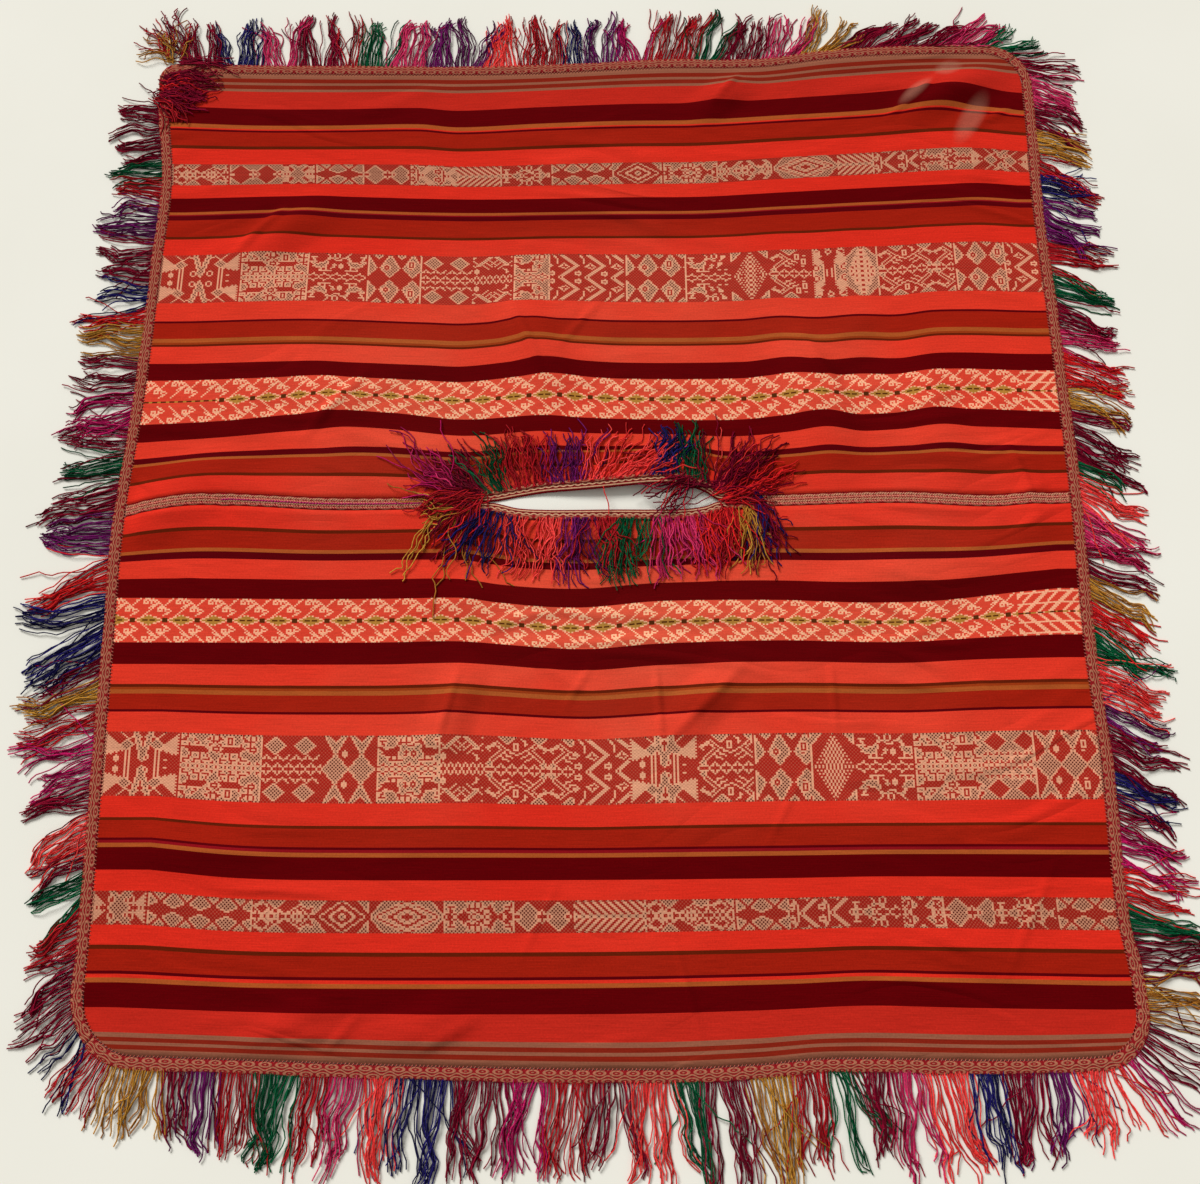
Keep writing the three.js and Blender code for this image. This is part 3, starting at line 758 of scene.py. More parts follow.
def scroll_band(panel):
    """Wool names of the scroll band's cells, columns by rows."""
    rows = ROWS_IN_BAND["hooks"]
    half = np.zeros((5 * SCROLL_REPEAT, rows // 2 + 1), bool)
    for repeat in range(7):
        for dx, dy in ((0, 0), OUTER_SCROLL):
            for line in (SCROLL, ARROW, STROKE):
                points = [(x + dx + repeat * SCROLL_REPEAT, y + dy) for x, y in line]
                line_of(half, *points)
    one = half[2 * SCROLL_REPEAT:3 * SCROLL_REPEAT]
    i, r = np.meshgrid(np.arange(column_count), np.arange(rows), indexing="ij")
    h = np.abs(r - rows // 2)
    along = i % SCROLL_REPEAT
    cells = np.where(one[along, h], "hook tan", "hook coral").astype("<U12")
    from_diamond = np.minimum(along, SCROLL_REPEAT - along)
    in_chain = from_diamond * DIAMOND["slope"] + h
    chained = middle_x[:, None] > CHAIN_STARTS[panel]
    cells[(in_chain < DIAMOND["rim"]) & chained] = "hook tan"
    cells[(in_chain < DIAMOND["heart"]) & chained] = "olive"
    cells[(h == 0) & (from_diamond > 0) & (from_diamond < 4)] = "knot"
    cells[(h < 2) & (from_diamond > 7) & chained] = "knot"
    cells[(h == 0) & ~chained] = "olive"
    cells[(h == 0) & ~chained & (i % 5 < 3)] = "knot"
    last = (middle_x[:, None] > TRIAL_STARTS[panel]) & (h > 0)
    from_slant = np.abs(h - i % (2 * TRIAL_PITCH)) % TRIAL_PITCH
    tried_out = (from_slant < 2) | (h % TRIAL_PITCH == TRIAL_PITCH - 1)
    cells[last & tried_out] = "hook tan"
    cells[last & ~tried_out] = "hook coral"
    return cells


names, counts = np.unique(scroll_band("lower"), return_counts=True)
print("cells in the lower scroll band:", dict(zip(names.tolist(), counts.tolist())))

# %% [markdown]
# ## Building node trees
# Materials and Geometry Nodes are both trees of small steps. They could be joined by hand in the
# editor, but a script repeats them without slips. One helper adds a step and fills or links its
# inputs, and the others add the steps that come back most: sums, mixed colours, soft edges, noise.
# A number that is the same all over a surface is set on the shader's own input.

# %% Helpers for node trees
def put(tree, kind, inputs=None, **settings):
    """Adds a node, sets its properties, and fills or links its inputs."""
    node = tree.nodes.new(kind)
    for name, value in settings.items():
        setattr(node, name, value)
    for place, value in (inputs or {}).items():
        socket = node.inputs[place]
        if isinstance(value, bpy.types.NodeSocket):
            tree.links.new(value, socket)
        else:
            socket.default_value = value
    return node


def out(tree, kind, inputs=None, **settings):
    """Adds a node and returns its first output."""
    return put(tree, kind, inputs, **settings).outputs[0]


def calc(tree, operation, *values):
    """Adds one sum and returns its result."""
    return out(tree, "ShaderNodeMath", dict(enumerate(values)), operation=operation)


def times(tree, first, second):
    return calc(tree, "MULTIPLY", first, second)


def rest_of(tree, share):
    """What is left of 1 when a share is taken."""
    return calc(tree, "SUBTRACT", 1.0, share)


def apart(tree, first, second):
    """How far two values are apart."""
    return calc(tree, "ABSOLUTE", calc(tree, "SUBTRACT", first, second))


def sine_wave(tree, way, pitch):
    """A wave from -1 to 1 that repeats at each pitch along a way."""
    return calc(tree, "SINE", times(tree, way, 2 * math.pi / pitch))


def vector_calc(tree, operation, *values):
    """The same as calc for vectors."""
    return out(tree, "ShaderNodeVectorMath", dict(enumerate(values)), operation=operation)


def scaled(tree, vector, factor):
    """A vector made longer or shorter."""
    inputs = {0: vector, "Scale": factor}
    return out(tree, "ShaderNodeVectorMath", inputs, operation="SCALE")


def combined(tree, x=0.0, y=0.0, z=0.0):
    """A vector from three values."""
    return out(tree, "ShaderNodeCombineXYZ", {0: x, 1: y, 2: z})


def split(tree, vector):
    """The three values of a vector."""
    return put(tree, "ShaderNodeSeparateXYZ", {0: vector}).outputs


# %% Helpers for colour and wear
def blended(tree, how, amount, first, second):
    """Mixes two colours and returns the result."""
    node = put(tree, "ShaderNodeMix", {0: amount}, data_type="RGBA", blend_type=how)
    for place, value in ((6, first), (7, second)):
        if isinstance(value, bpy.types.NodeSocket):
            tree.links.new(value, node.inputs[place])
        else:
            node.inputs[place].default_value = value
    return node.outputs[2]


def ramp(tree, value, low, high):
    """Turns a value into 0 below low and 1 above high, softly between."""
    return out(tree, "ShaderNodeMapRange", {"Value": value, "From Min": low, "From Max": high},
               interpolation_type="SMOOTHSTEP")


def noise(tree, at, size, detail, roughness=0.5):
    """Cloudy noise; its outputs are a value and a colour."""
    return put(tree, "ShaderNodeTexNoise", {"Vector": at, "Scale": size, "Detail": detail,
                                           "Roughness": roughness}).outputs


def toned(tree, colour, clouds, least, most, low=0.3, high=0.7):
    """Makes a colour darker and lighter by noise that runs from low to high."""
    tone = out(tree, "ShaderNodeMapRange", {"Value": clouds, "From Min": low, "From Max": high,
                                           "To Min": least, "To Max": most})
    return blended(tree, "MULTIPLY", 1.0, colour, tone)


def finish_surface(tree, shader, colour, relief):
    """Joins a colour and a relief to the shader."""
    tree.links.new(colour, shader.inputs["Base Color"])
    tree.links.new(relief, shader.inputs["Normal"])


def raised(tree, height, distance, strength, **more):
    """Relief from a height; distance is in metres."""
    return out(tree, "ShaderNodeBump", {"Height": height, "Distance": distance,
                                       "Strength": strength, **more})


def object_place(tree):
    """Where a point is on the poncho, in metres."""
    return put(tree, "ShaderNodeTexCoord").outputs["Object"]


def from_mesh(tree, name, output="Color"):
    """Reads a value that the mesh holds."""
    return put(tree, "ShaderNodeAttribute", attribute_name=name).outputs[output]


def new_finish(name, roughness, sheen=0.0):
    """A material with its shader; returns the material, its tree and the shader node."""
    finish = bpy.data.materials.new(name)
    finish.use_nodes = True
    shader = finish.node_tree.nodes["Principled BSDF"]
    for label, value in (("Roughness", roughness), ("Sheen Weight", sheen),
                         ("Sheen Roughness", 0.5), ("Specular IOR Level", 0.02)):
        shader.inputs[label].default_value = value
    return finish, finish.node_tree, shader


# %% [markdown]
# ## The cloth's finish
# Warp-faced wool shows fine ribs along the stripes, because the close warp hides the weft. Pebble
# weave speckles the light parts of a pattern with dots of the other wool. The reds of this cloth
# are lighter and more orange towards its middle, and dust lies on one corner. The wool of each
# face comes from the mesh, and the shader adds speckle, ribs, the lighter middle and dust on top.
# The map that it reads is the flat cloth in millimetres, so the ribs follow the stripes over each
# fold.

# %% Values of the cloth's finish
WOOL_ROUGHNESS = 0.95
PEBBLE_PITCH = 4.6
PEBBLE_EDGE = (0.05, 0.28)
RIB_PITCH = 1.25
RIB_HIGH, RIB_STRENGTH = 0.00012, 0.6
GRAIN = {"size": 0.9, "detail": 2.0, "share": 1.5}
STREAK_STRETCH = (0.02, 1.1, 1)
STREAK_TONES, FLECK_TONES = (0.78, 1.18), (0.86, 1.13)
# An orange tint that makes the reds lighter and more orange towards the middle of the cloth, in
# patches.
MIDDLE_TINT = (0.25, 1.0, 0.5, 1)
MIDDLE_TINT_SHARE = 0.1
MIDDLE_TINT_WITHIN = (0.1, 0.75)
MIDDLE_TINT_PATCH, DUSTY_PATCH, RUMPLED_PATCH = (0.3, 0.75), (0.3, 0.65), (0.35, 0.65)
DUST = shade(190, 146, 122)
DUST_SHARE = 0.3
STAIN_COLUMNS = ("x", "y", "long", "wide", "turn")
stains = [
    (0.528, 0.716, 0.026, 0.016, 20),
    (0.474, 0.673, 0.040, 0.013, 44),
    (0.555, 0.628, 0.058, 0.020, 60),
]
RUMPLE_HIGH = 0.0042
RUMPLE_COLUMNS = ("turn", "share")
rumples = [(35, 1.0), (-50, 0.8)]
RUMPLE_STRETCH = (2.6, 12.0, 1.0)
RUMPLE_WIDE, RUMPLE_STRENGTH, RUMPLE_BEND = 0.13, 0.8, 0.3


# %% Colour of the cloth
def speckled_wool(tree, flat, wool_shade):
    """The face's own wool, with dots of the wool that lies under it."""
    along, across, _ = split(tree, flat)
    waves = [sine_wave(tree, way, PEBBLE_PITCH) for way in (along, across)]
    dots = ramp(tree, times(tree, *waves), *PEBBLE_EDGE)
    amount = times(tree, dots, from_mesh(tree, "speckle", "Fac"))
    colour = blended(tree, "MIX", amount, wool_shade, from_mesh(tree, "under"))
    streaks = noise(tree, vector_calc(tree, "MULTIPLY", flat, STREAK_STRETCH), 1.0, 3.0, 0.6)
    return toned(tree, colour, streaks[0], *STREAK_TONES, 0.25, 0.75)


def middle_tinted(tree, colour, wool_shade, place, patches):
    """Lightens the reds towards the middle of the cloth, in patches."""
    middle = put(tree, "ShaderNodeVectorMath", {0: place}, operation="LENGTH").outputs["Value"]
    tint_amount = rest_of(tree, ramp(tree, middle, *MIDDLE_TINT_WITHIN))
    tint_amount = times(tree, tint_amount, ramp(tree, patches, *MIDDLE_TINT_PATCH))
    redness = out(tree, "ShaderNodeSeparateColor", {0: wool_shade})
    tint_amount = times(tree, tint_amount, times(tree, redness, redness))
    return blended(tree, "ADD", times(tree, tint_amount, MIDDLE_TINT_SHARE), colour, MIDDLE_TINT)


def dusted(tree, colour, place, patches):
    """Lays each smear of dust on the colour."""
    for row in stains:
        stain = dict(zip(STAIN_COLUMNS, row))
        turn = math.radians(stain["turn"])
        off = vector_calc(tree, "SUBTRACT", place, (stain["x"], stain["y"], 0))
        ahead = (math.cos(turn) / stain["long"], math.sin(turn) / stain["long"], 0)
        aside = (-math.sin(turn) / stain["wide"], math.cos(turn) / stain["wide"], 0)
        squares = 0.0
        for direction in (ahead, aside):
            part = put(tree, "ShaderNodeVectorMath", {0: off, 1: direction},
                       operation="DOT_PRODUCT").outputs["Value"]
            squares = calc(tree, "MULTIPLY_ADD", part, part, squares)
        smear = rest_of(tree, ramp(tree, squares, 0.0, 1.0))
        smear = times(tree, smear, ramp(tree, patches, *DUSTY_PATCH))
        colour = blended(tree, "MIX", times(tree, smear, DUST_SHARE), colour, DUST)
    return colour


# %% Relief of the cloth
def ribbed(tree, flat):
    """Fine ribs along the stripes."""
    across = split(tree, flat)[1]
    ribs = sine_wave(tree, across, RIB_PITCH)
    grain = noise(tree, flat, GRAIN["size"], GRAIN["detail"])[0]
    relief = calc(tree, "MULTIPLY_ADD", grain, GRAIN["share"], ribs)
    return raised(tree, relief, RIB_HIGH, RIB_STRENGTH)


def rumpled(tree, place, patches, ribs):
    """Soft ridges across the cloth in two directions, on top of the ribs."""
    bend = scaled(tree, noise(tree, place, 2.6, 1.0)["Color"], RUMPLE_BEND)
    bent = vector_calc(tree, "ADD", place, bend)
    highest = 0.0
    for row in rumples:
        rumple = dict(zip(RUMPLE_COLUMNS, row))
        leaning = out(tree, "ShaderNodeMapping", {
            0: bent, "Rotation": (0, 0, math.radians(rumple["turn"])),
            "Scale": RUMPLE_STRETCH})
        wave = noise(tree, leaning, 1.0, 1.0)[0]
        ridge = apart(tree, wave, 0.5)
        ridge = rest_of(tree, ramp(tree, ridge, 0.0, RUMPLE_WIDE))
        highest = calc(tree, "MAXIMUM", highest, times(tree, ridge, rumple["share"]))
    height = times(tree, highest, ramp(tree, patches, *RUMPLED_PATCH))
    return raised(tree, height, RUMPLE_HIGH, RUMPLE_STRENGTH, Normal=ribs)


# %% Cloth material
def make_cloth_finish():
    finish, tree, shader = new_finish("warp_faced_wool", WOOL_ROUGHNESS)
    wool_shade = from_mesh(tree, "wool")
    flat = out(tree, "ShaderNodeUVMap", uv_map="flat_cloth")
    place = object_place(tree)
    patches = noise(tree, place, 3.2, 4.0)[0]
    colour = speckled_wool(tree, flat, wool_shade)
    colour = middle_tinted(tree, colour, wool_shade, place, patches)
    colour = dusted(tree, colour, place, patches)
    colour = toned(tree, colour, noise(tree, flat, 0.42, 3.0, 0.7)[0], *FLECK_TONES)
    finish_surface(tree, shader, colour, rumpled(tree, place, patches, ribbed(tree, flat)))
    return finish


cloth_finish = make_cloth_finish()
print("cloth finish has", len(cloth_finish.node_tree.nodes), "nodes")

# %% [markdown]
# ## The two panels
# Each panel is one closed sheet, about a millimetre and a half thick, with four woven edges. A
# Solidify modifier could thicken it, but would double the fine grid of the upper side. Here the
# underside is coarse, because it never shows, and every coarse corner sits under a grid point, at
# the lowest height around it. A chain of faces joins both sides and keeps the sheet closed.

# %% Panel helpers
CLOTH_THICK = 1.6
UNDER_COLUMN_STEP = 5
UNDER_ROW_STEP = 3


def every(count, step):
    """Numbers from 0 to count in steps, always with the last."""
    numbers = list(range(0, count, step))
    return numbers + [count] if count - numbers[-1] > 1 else numbers[:-1] + [count]


def sheet_faces(columns, rows, under_columns, under_rows):
    """Faces of a closed sheet whose underside uses only some of its grid points."""
    c, r = np.meshgrid(np.arange(columns), np.arange(rows), indexing="ij")
    a = (c * (rows + 1) + r).ravel()
    top = np.stack([a, a + rows + 1, a + rows + 2, a + 1], axis=1).tolist()
    base = (columns + 1) * (rows + 1)
    deep = len(under_rows)
    bottom = []
    for p in range(len(under_columns) - 1):
        for q in range(deep - 1):
            b = base + p * deep + q
            bottom.append([b, b + 1, b + deep + 1, b + deep])
    ring = [(p, 0) for p in range(len(under_columns) - 1)]
    ring += [(len(under_columns) - 1, q) for q in range(deep - 1)]
    ring += [(p, deep - 1) for p in range(len(under_columns) - 1, 0, -1)]
    ring += [(0, q) for q in range(deep - 1, 0, -1)]
    walls = []
    for (p0, q0), (p1, q1) in zip(ring, ring[1:] + ring[:1]):
        c0, r0, c1, r1 = under_columns[p0], under_rows[q0], under_columns[p1], under_rows[q1]
        count = max(abs(c1 - c0), abs(r1 - r0))
        chain = [(c0 + (c1 - c0) * k // count) * (rows + 1) + r0 + (r1 - r0) * k // count
                 for k in range(count + 1)]
        walls.append([base + p0 * deep + q0, base + p1 * deep + q1] + chain[::-1])
    return top, bottom, walls


def in_scene(name, mesh):
    """An object at the origin that holds a mesh."""
    piece = bpy.data.objects.new(name, mesh)
    scene.collection.objects.link(piece)
    return piece


def piece_from(name, points, faces, finish, smooth=True):
    """A new object from points in metres and faces."""
    mesh = bpy.data.meshes.new(name)
    mesh.from_pydata([tuple(point) for point in points], [], faces)
    mesh.update()
    mesh.materials.append(finish)
    mesh.polygons.foreach_set("use_smooth", [smooth] * len(mesh.polygons))
    return in_scene(name, mesh)


# %% Wool of each face
NARROW_BAND_TONE = 0.8
SCROLL_SPECKLE = 0.25
GROUND_SPECKLE = 0.14


def face_wools(panel):
    """Wool, wool under the speckle, and amount of speckle, for a panel's faces."""
    _, stripe_of_row = rows_of(panel)
    colour = np.zeros((column_count, row_count[panel], 4))
    under = np.zeros((column_count, row_count[panel], 4))
    speckle = np.zeros((column_count, row_count[panel]))
    for number, row in enumerate(stripe_rows):
        rows = np.flatnonzero(stripe_of_row == number)
        block = slice(rows[0], rows[-1] + 1)
        name = row[0]
        if name == "hooks":
            names = scroll_band(panel)
            for kind in np.unique(names):
                colour[:, block][names == kind] = wool[kind]
            under[:, block] = wool["hook coral"]
            speckle[:, block] = SCROLL_SPECKLE * (names == "hook tan")
        elif name in ROWS_IN_BAND:
            light = paint_band(panel, name)
            inner = light.copy()
            inner[1:-1, 1:-1] = (light[:-2, 1:-1] & light[2:, 1:-1]
                                 & light[1:-1, :-2] & light[1:-1, 2:])
            colour[:, block] = wool["pattern red"]
            colour[:, block][light] = wool["pattern tan"]
            colour[:, block][inner] = wool["pebbled tan"]
            under[:, block] = np.where(light[..., None], wool["pebble"], wool["pattern tan"])
            speckle[:, block] = np.where(light, inner, GROUND_SPECKLE)
            if name == "narrow band":
                colour[:, block] *= NARROW_BAND_TONE
        else:
            colour[:, block] = wool[name]
            under[:, block] = wool[name]
    return colour, under, speckle


# %% Helpers for the sheet's underside and its map
def lowest_around(height, columns, rows):
    """The lowest of the heights within some columns and rows of each place."""
    lowest = height
    for axis, reach in ((0, columns), (1, rows)):
        padded = np.pad(lowest, [(reach, reach) if k == axis else (0, 0) for k in (0, 1)], "edge")
        views = np.lib.stride_tricks.sliding_window_view(padded, 2 * reach + 1, axis=axis)
        lowest = views.min(axis=-1)
    return lowest


def lay_map(mesh, name, flat):
    """Gives a mesh a map from one flat place for each of its points."""
    corners = np.zeros(len(mesh.loops), int)
    mesh.loops.foreach_get("vertex_index", corners)
    mesh.uv_layers.new(name=name).data.foreach_set("uv", flat[corners].ravel())


def keep_values(mesh, name, kind, domain, values):
    """Stores values on a mesh for its material or its node tree."""
    field = {"FLOAT": "value", "FLOAT_VECTOR": "vector", "FLOAT_COLOR": "color"}[kind]
    layer = mesh.attributes.new(name, kind, domain)
    layer.data.foreach_set(field, np.asarray(values, float).ravel())


# %% Weave the panels
def make_panel(panel):
    x, y = panel_grid(panel)
    height = lift(x, y)
    lines, _ = rows_of(panel)
    under_columns = every(column_count, UNDER_COLUMN_STEP)
    under_rows = every(row_count[panel], UNDER_ROW_STEP)
    top, bottom, walls = sheet_faces(column_count, row_count[panel], under_columns, under_rows)
    upper_points = np.stack([x, y, height + CLOTH_THICK], axis=-1).reshape(-1, 3)
    picked = np.ix_(under_columns, under_rows)
    below = lowest_around(height, UNDER_COLUMN_STEP, UNDER_ROW_STEP)
    lower_points = np.stack([x[picked], y[picked], below[picked]], axis=-1).reshape(-1, 3)
    points = in_metres(np.concatenate([upper_points, lower_points]))
    faces = top + bottom + walls
    if panel == "lower":
        faces = [face[::-1] for face in faces]
    piece = piece_from(f"cloth_{panel}", points, faces, cloth_finish)
    mesh = piece.data
    rest = len(bottom) + len(walls)
    smooth = [True] * (len(top) + len(bottom)) + [False] * len(walls)
    mesh.polygons.foreach_set("use_smooth", smooth)
    colour, under, speckle = face_wools(panel)
    edge_wool = np.tile(wool["faded red"], (rest, 1))
    for name, values in (("wool", colour), ("under", under)):
        values = np.concatenate([values.reshape(-1, 4), edge_wool])
        keep_values(mesh, name, "FLOAT_COLOR", "FACE", values)
    keep_values(mesh, "speckle", "FLOAT", "FACE", np.append(speckle, np.zeros(rest)))
    above = np.column_stack([np.repeat(column_x, len(lines)), np.tile(lines, len(column_x))])
    lay_map(mesh, "flat_cloth", np.concatenate([above, lower_points[:, :2]]))
    return piece


cloth_upper = make_panel("upper")
cloth_lower = make_panel("lower")
for piece in (cloth_upper, cloth_lower):
    print(piece.name, "faces:", len(piece.data.polygons))

# %% [markdown]
# ## The woven bands
# A narrow band binds the outer edge, woven with a tan wave between eyes on rose. A darker one with
# two crossing waves and a line at each side binds both lips of the neck. A curve with a bevel
# would twist at the corners, so a band is built from its two edges, with a low crown between them.
# Its map runs along and across it in millimetres, and the pattern is drawn from that map.

# %% Pattern of the bands
BAND_GROUND = shade(140, 24, 30)
BAND_TAN = shade(176, 116, 88)
NECK_GROUND = shade(122, 10, 20)
NECK_TAN = shade(226, 178, 140)
EYE_REPEAT = 19.6
EYE_LONG, EYE_HIGH = 6.2, 2.5
EYE_LEVELS = ((0.25, 4.4), (0.75, -4.4))
LID, HEART = 3.0, 3.2
BAND_MIDDLE = 8.0
WAVE_SWING = 1.7
SIDE_LINE = 5.0
LINE_EDGE = (0.5, 1.2)
TAN_SHARE = 0.85
BAND_TONES = (0.75, 1.2)
THREAD_PITCH = 1.6
THREAD_HIGH = 0.0003
PATTERN_RELIEF = 2.0


def from_wave(tree, swing, size, off_middle):
    """How far a place is from a wave line."""
    return calc(tree, "ABSOLUTE", calc(tree, "MULTIPLY_ADD", swing, size, off_middle))


def from_crossing_lines(tree, swing, off_middle):
    """How far a place is from the second wave or the lines at the sides."""
    second = from_wave(tree, swing, -WAVE_SWING, off_middle)
    from_middle = calc(tree, "ABSOLUTE", off_middle)
    return calc(tree, "MINIMUM", second, apart(tree, from_middle, SIDE_LINE))


def from_eyes(tree, along, off_middle, shift, level):
    """How far a place is from the lid or the heart of an eye."""
    part = calc(tree, "FRACT", calc(tree, "MULTIPLY_ADD", along, 1 / EYE_REPEAT, shift))
    aside = times(tree, calc(tree, "SUBTRACT", part, 0.5), EYE_REPEAT / EYE_LONG)
    above = times(tree, calc(tree, "SUBTRACT", off_middle, level), 1 / EYE_HIGH)
    squares = calc(tree, "MULTIPLY_ADD", aside, aside, times(tree, above, above))
    from_eye = calc(tree, "SQRT", squares)
    from_lid = apart(tree, from_eye, 1.0)
    return calc(tree, "MINIMUM", times(tree, from_lid, LID),
                times(tree, from_eye, HEART))


# %% Finish of the bands
def make_band_finish(name, ground, tan, eyes):
    finish, tree, shader = new_finish(name, WOOL_ROUGHNESS)
    flat = out(tree, "ShaderNodeUVMap", uv_map="along_band")
    along, across, _ = split(tree, flat)
    off_middle = calc(tree, "SUBTRACT", across, BAND_MIDDLE)
    swing = sine_wave(tree, along, EYE_REPEAT)
    lines = [from_eyes(tree, along, off_middle, *row) for row in EYE_LEVELS] if eyes else [
        from_crossing_lines(tree, swing, off_middle)]
    nearest = from_wave(tree, swing, WAVE_SWING, off_middle)
    for line in lines:
        nearest = calc(tree, "MINIMUM", nearest, line)
    light = rest_of(tree, ramp(tree, nearest, *LINE_EDGE))
    colour = blended(tree, "MIX", times(tree, light, TAN_SHARE), ground, tan)
    colour = toned(tree, colour, noise(tree, flat, 0.35, 3.0)[0], *BAND_TONES)
    threads = sine_wave(tree, along, THREAD_PITCH)
    relief = calc(tree, "MULTIPLY_ADD", light, PATTERN_RELIEF, threads)
    finish_surface(tree, shader, colour, raised(tree, relief, THREAD_HIGH, 0.7))
    return finish


band_finish = make_band_finish("woven_edge_band", BAND_GROUND, BAND_TAN, eyes=True)
neck_finish = make_band_finish("woven_neck_band", NECK_GROUND, NECK_TAN, eyes=False)

# %% A strip from its two edges
CROWN = {
    "across": [0, 0.1, 0.3, 0.5, 0.7, 0.9, 1],
    "high": [0.55, 0.86, 0.98, 1, 0.98, 0.86, 0.55],
}


def strip(name, first, second, base, thick, finish):
    """A closed strip between two edges in millimetres, crowned above and resting on base."""
    first, second = np.array(first, float), np.array(second, float)
    wide = np.linalg.norm(second - first, axis=1)
    along = walked_along(first)
    rings = []
    flats = []
    for share, high in [*zip(CROWN["across"], CROWN["high"]), (1, 0), (0, 0)]:
        at = first + (second - first) * share
        rings.append(np.column_stack([at, base(at[:, 0], at[:, 1]) + thick * high]))
        flats.append(np.column_stack([along, wide * share]))
    around = len(rings)
    points = np.stack(rings, axis=1).reshape(-1, 3)
    flat = np.stack(flats, axis=1).reshape(-1, 2)
    count = len(first)
    faces = []
    for i in range(count - 1):
        for k in range(around):
            a, b = i * around + k, i * around + (k + 1) % around
            faces.append([a, b, b + around, a + around])
    faces.append(list(range(around))[::-1])
    faces.append([(count - 1) * around + k for k in range(around)])
    step, over = first[1] - first[0], second[0] - first[0]
    if step[0] * over[1] - step[1] * over[0] > 0:
        faces = [face[::-1] for face in faces]
    piece = piece_from(name, in_metres(points), faces, finish)
    lay_map(piece.data, "along_band", flat)
    return piece


# %% [markdown]
# ## Paths round the cloth
# The edge band and its fringe go round four rounded corners. The path follows the cloth's rim
# anticlockwise, side by side, and is then walked in even steps, so that waves, stitches and yarns
# keep their spacing also on a corner.

# %% Paths of the four sides
CORNER_MIDDLE = {"left": 20.0, "right": 16.0}
BAND_WIDE = 16
BAND_THICK = 2.6
PATH_STEP = 4.0
ROUGH_POINTS, LONG_ROUGH_POINTS = 200, 900


def rim_points(from_x, to_x, side, count=ROUGH_POINTS):
    x = np.linspace(from_x, to_x, count)
    y = rim_y(x, side)
    share = (x - seam_left_end) / (seam_right_end - seam_left_end)
    return np.column_stack([left_x(y) + (right_x(y) - left_x(y)) * share, y])


def end_points(line, from_y, to_y):
    y = np.linspace(from_y, to_y, ROUGH_POINTS)
    return np.column_stack([line(y), y])


def evenly(path, step):
    """The same path with points at even distances."""
    path = np.array(path, float)
    keep = np.concatenate([[True], np.linalg.norm(np.diff(path, axis=0), axis=1) > 1e-6])
    path = path[keep]
    walked = walked_along(path)
    places = np.linspace(0, walked[-1], int(walked[-1] / step) + 1)
    return np.column_stack([np.interp(places, walked, path[:, k]) for k in range(2)])


def turned_right(path):
    """Directions square to a path, to its right."""
    ahead = np.gradient(path, axis=0)
    ahead /= np.linalg.norm(ahead, axis=1)[:, None]
    return np.column_stack([ahead[:, 1], -ahead[:, 0]])


near_left = seam_left_end + CORNER_MIDDLE["left"]
near_right = seam_right_end - CORNER_MIDDLE["right"]
high_left, high_right = float(rim_y(seam_left_end, 1)), float(rim_y(seam_right_end, 1))
low_left, low_right = float(rim_y(seam_left_end, -1)), float(rim_y(seam_right_end, -1))
side_paths = {
    "left": np.concatenate([
        rim_points(near_left, seam_left_end, 1), end_points(left_x, high_left, low_left),
        rim_points(seam_left_end, near_left, -1)]),
    "bottom": rim_points(near_left, near_right, -1, LONG_ROUGH_POINTS),
    "right": np.concatenate([
        rim_points(near_right, seam_right_end, -1), end_points(right_x, low_right, high_right),
        rim_points(seam_right_end, near_right, 1)]),
    "top": rim_points(near_right, near_left, 1, LONG_ROUGH_POINTS),
}
side_paths = {name: evenly(path, PATH_STEP) for name, path in side_paths.items()}
for name, path in side_paths.items():
    print(name, "path points:", len(path))

# %% Edge bands
BAND_INSET = {"inner": 0.4, "outer": 0.6}


def floor_height(x, y):
    return np.zeros(x.shape)


edge_bands = {}
for name, path in side_paths.items():
    outward = turned_right(path)
    walked = np.arange(len(path)) * PATH_STEP
    sway = 0.5 * np.sin(walked / 37) + 0.4 * np.sin(walked / 13 + 1)
    inner = path + outward * (GAP + BAND_INSET["inner"])
    outer = path + outward * (GAP + BAND_WIDE - BAND_INSET["outer"] + sway)[:, None]
    edge_bands[name] = strip(f"woven_edge_{name}", inner, outer, floor_height, BAND_THICK,
                             band_finish)
print("edge bands:", len(edge_bands))

# %% [markdown]
# ## The neck's border
# The slit is only a stretch of the middle that was never sewn. Each lip is bound with a length of
# the same band, which stands up with the cloth as it arches. The strip's edges are the lip and the
# edge of the panel, and its base is the height of the folds.

# %% Neck borders
LIP_POINTS = 163
LIP_INSET = 0.1


def neck_edges(side):
    """The lip and the cloth's side of the border on one lip."""
    x = np.linspace(SLIT_START + LIP_INSET, SLIT_END - LIP_INSET, LIP_POINTS)
    lip = lip_up if side > 0 else lip_down
    inner = np.column_stack([x, seam_y(x) + side * lip(x)])
    outer = np.column_stack([x, seam_y(x) + side * (lip(x) + border_wide(x))])
    return inner, outer


neck_borders = {}
for name, side in SIDE.items():
    inner, outer = neck_edges(side)
    neck_borders[name] = strip(f"neck_binding_{name}", inner, outer, lift, BAND_THICK, neck_finish)
print("neck borders:", len(neck_borders))

# %% [markdown]
# ## The seam between the panels
# The panels are joined by close needlework in tan and rose that stands up like a cord. The base is
# a low strip between the two selvedges. Slanting stitches cross it from both sides. They repeat at
# an even pitch along a path, which is what Geometry Nodes do best: the tree walks the path, puts
# one small stitch at each step, turns it by the slant, and ends as real faces.

# %% Wool yarn and the seam's strips
TWIST_SIZE, TWIST_HIGH = 420.0, 0.0003
TWIST_TONES = (0.68, 1.25)


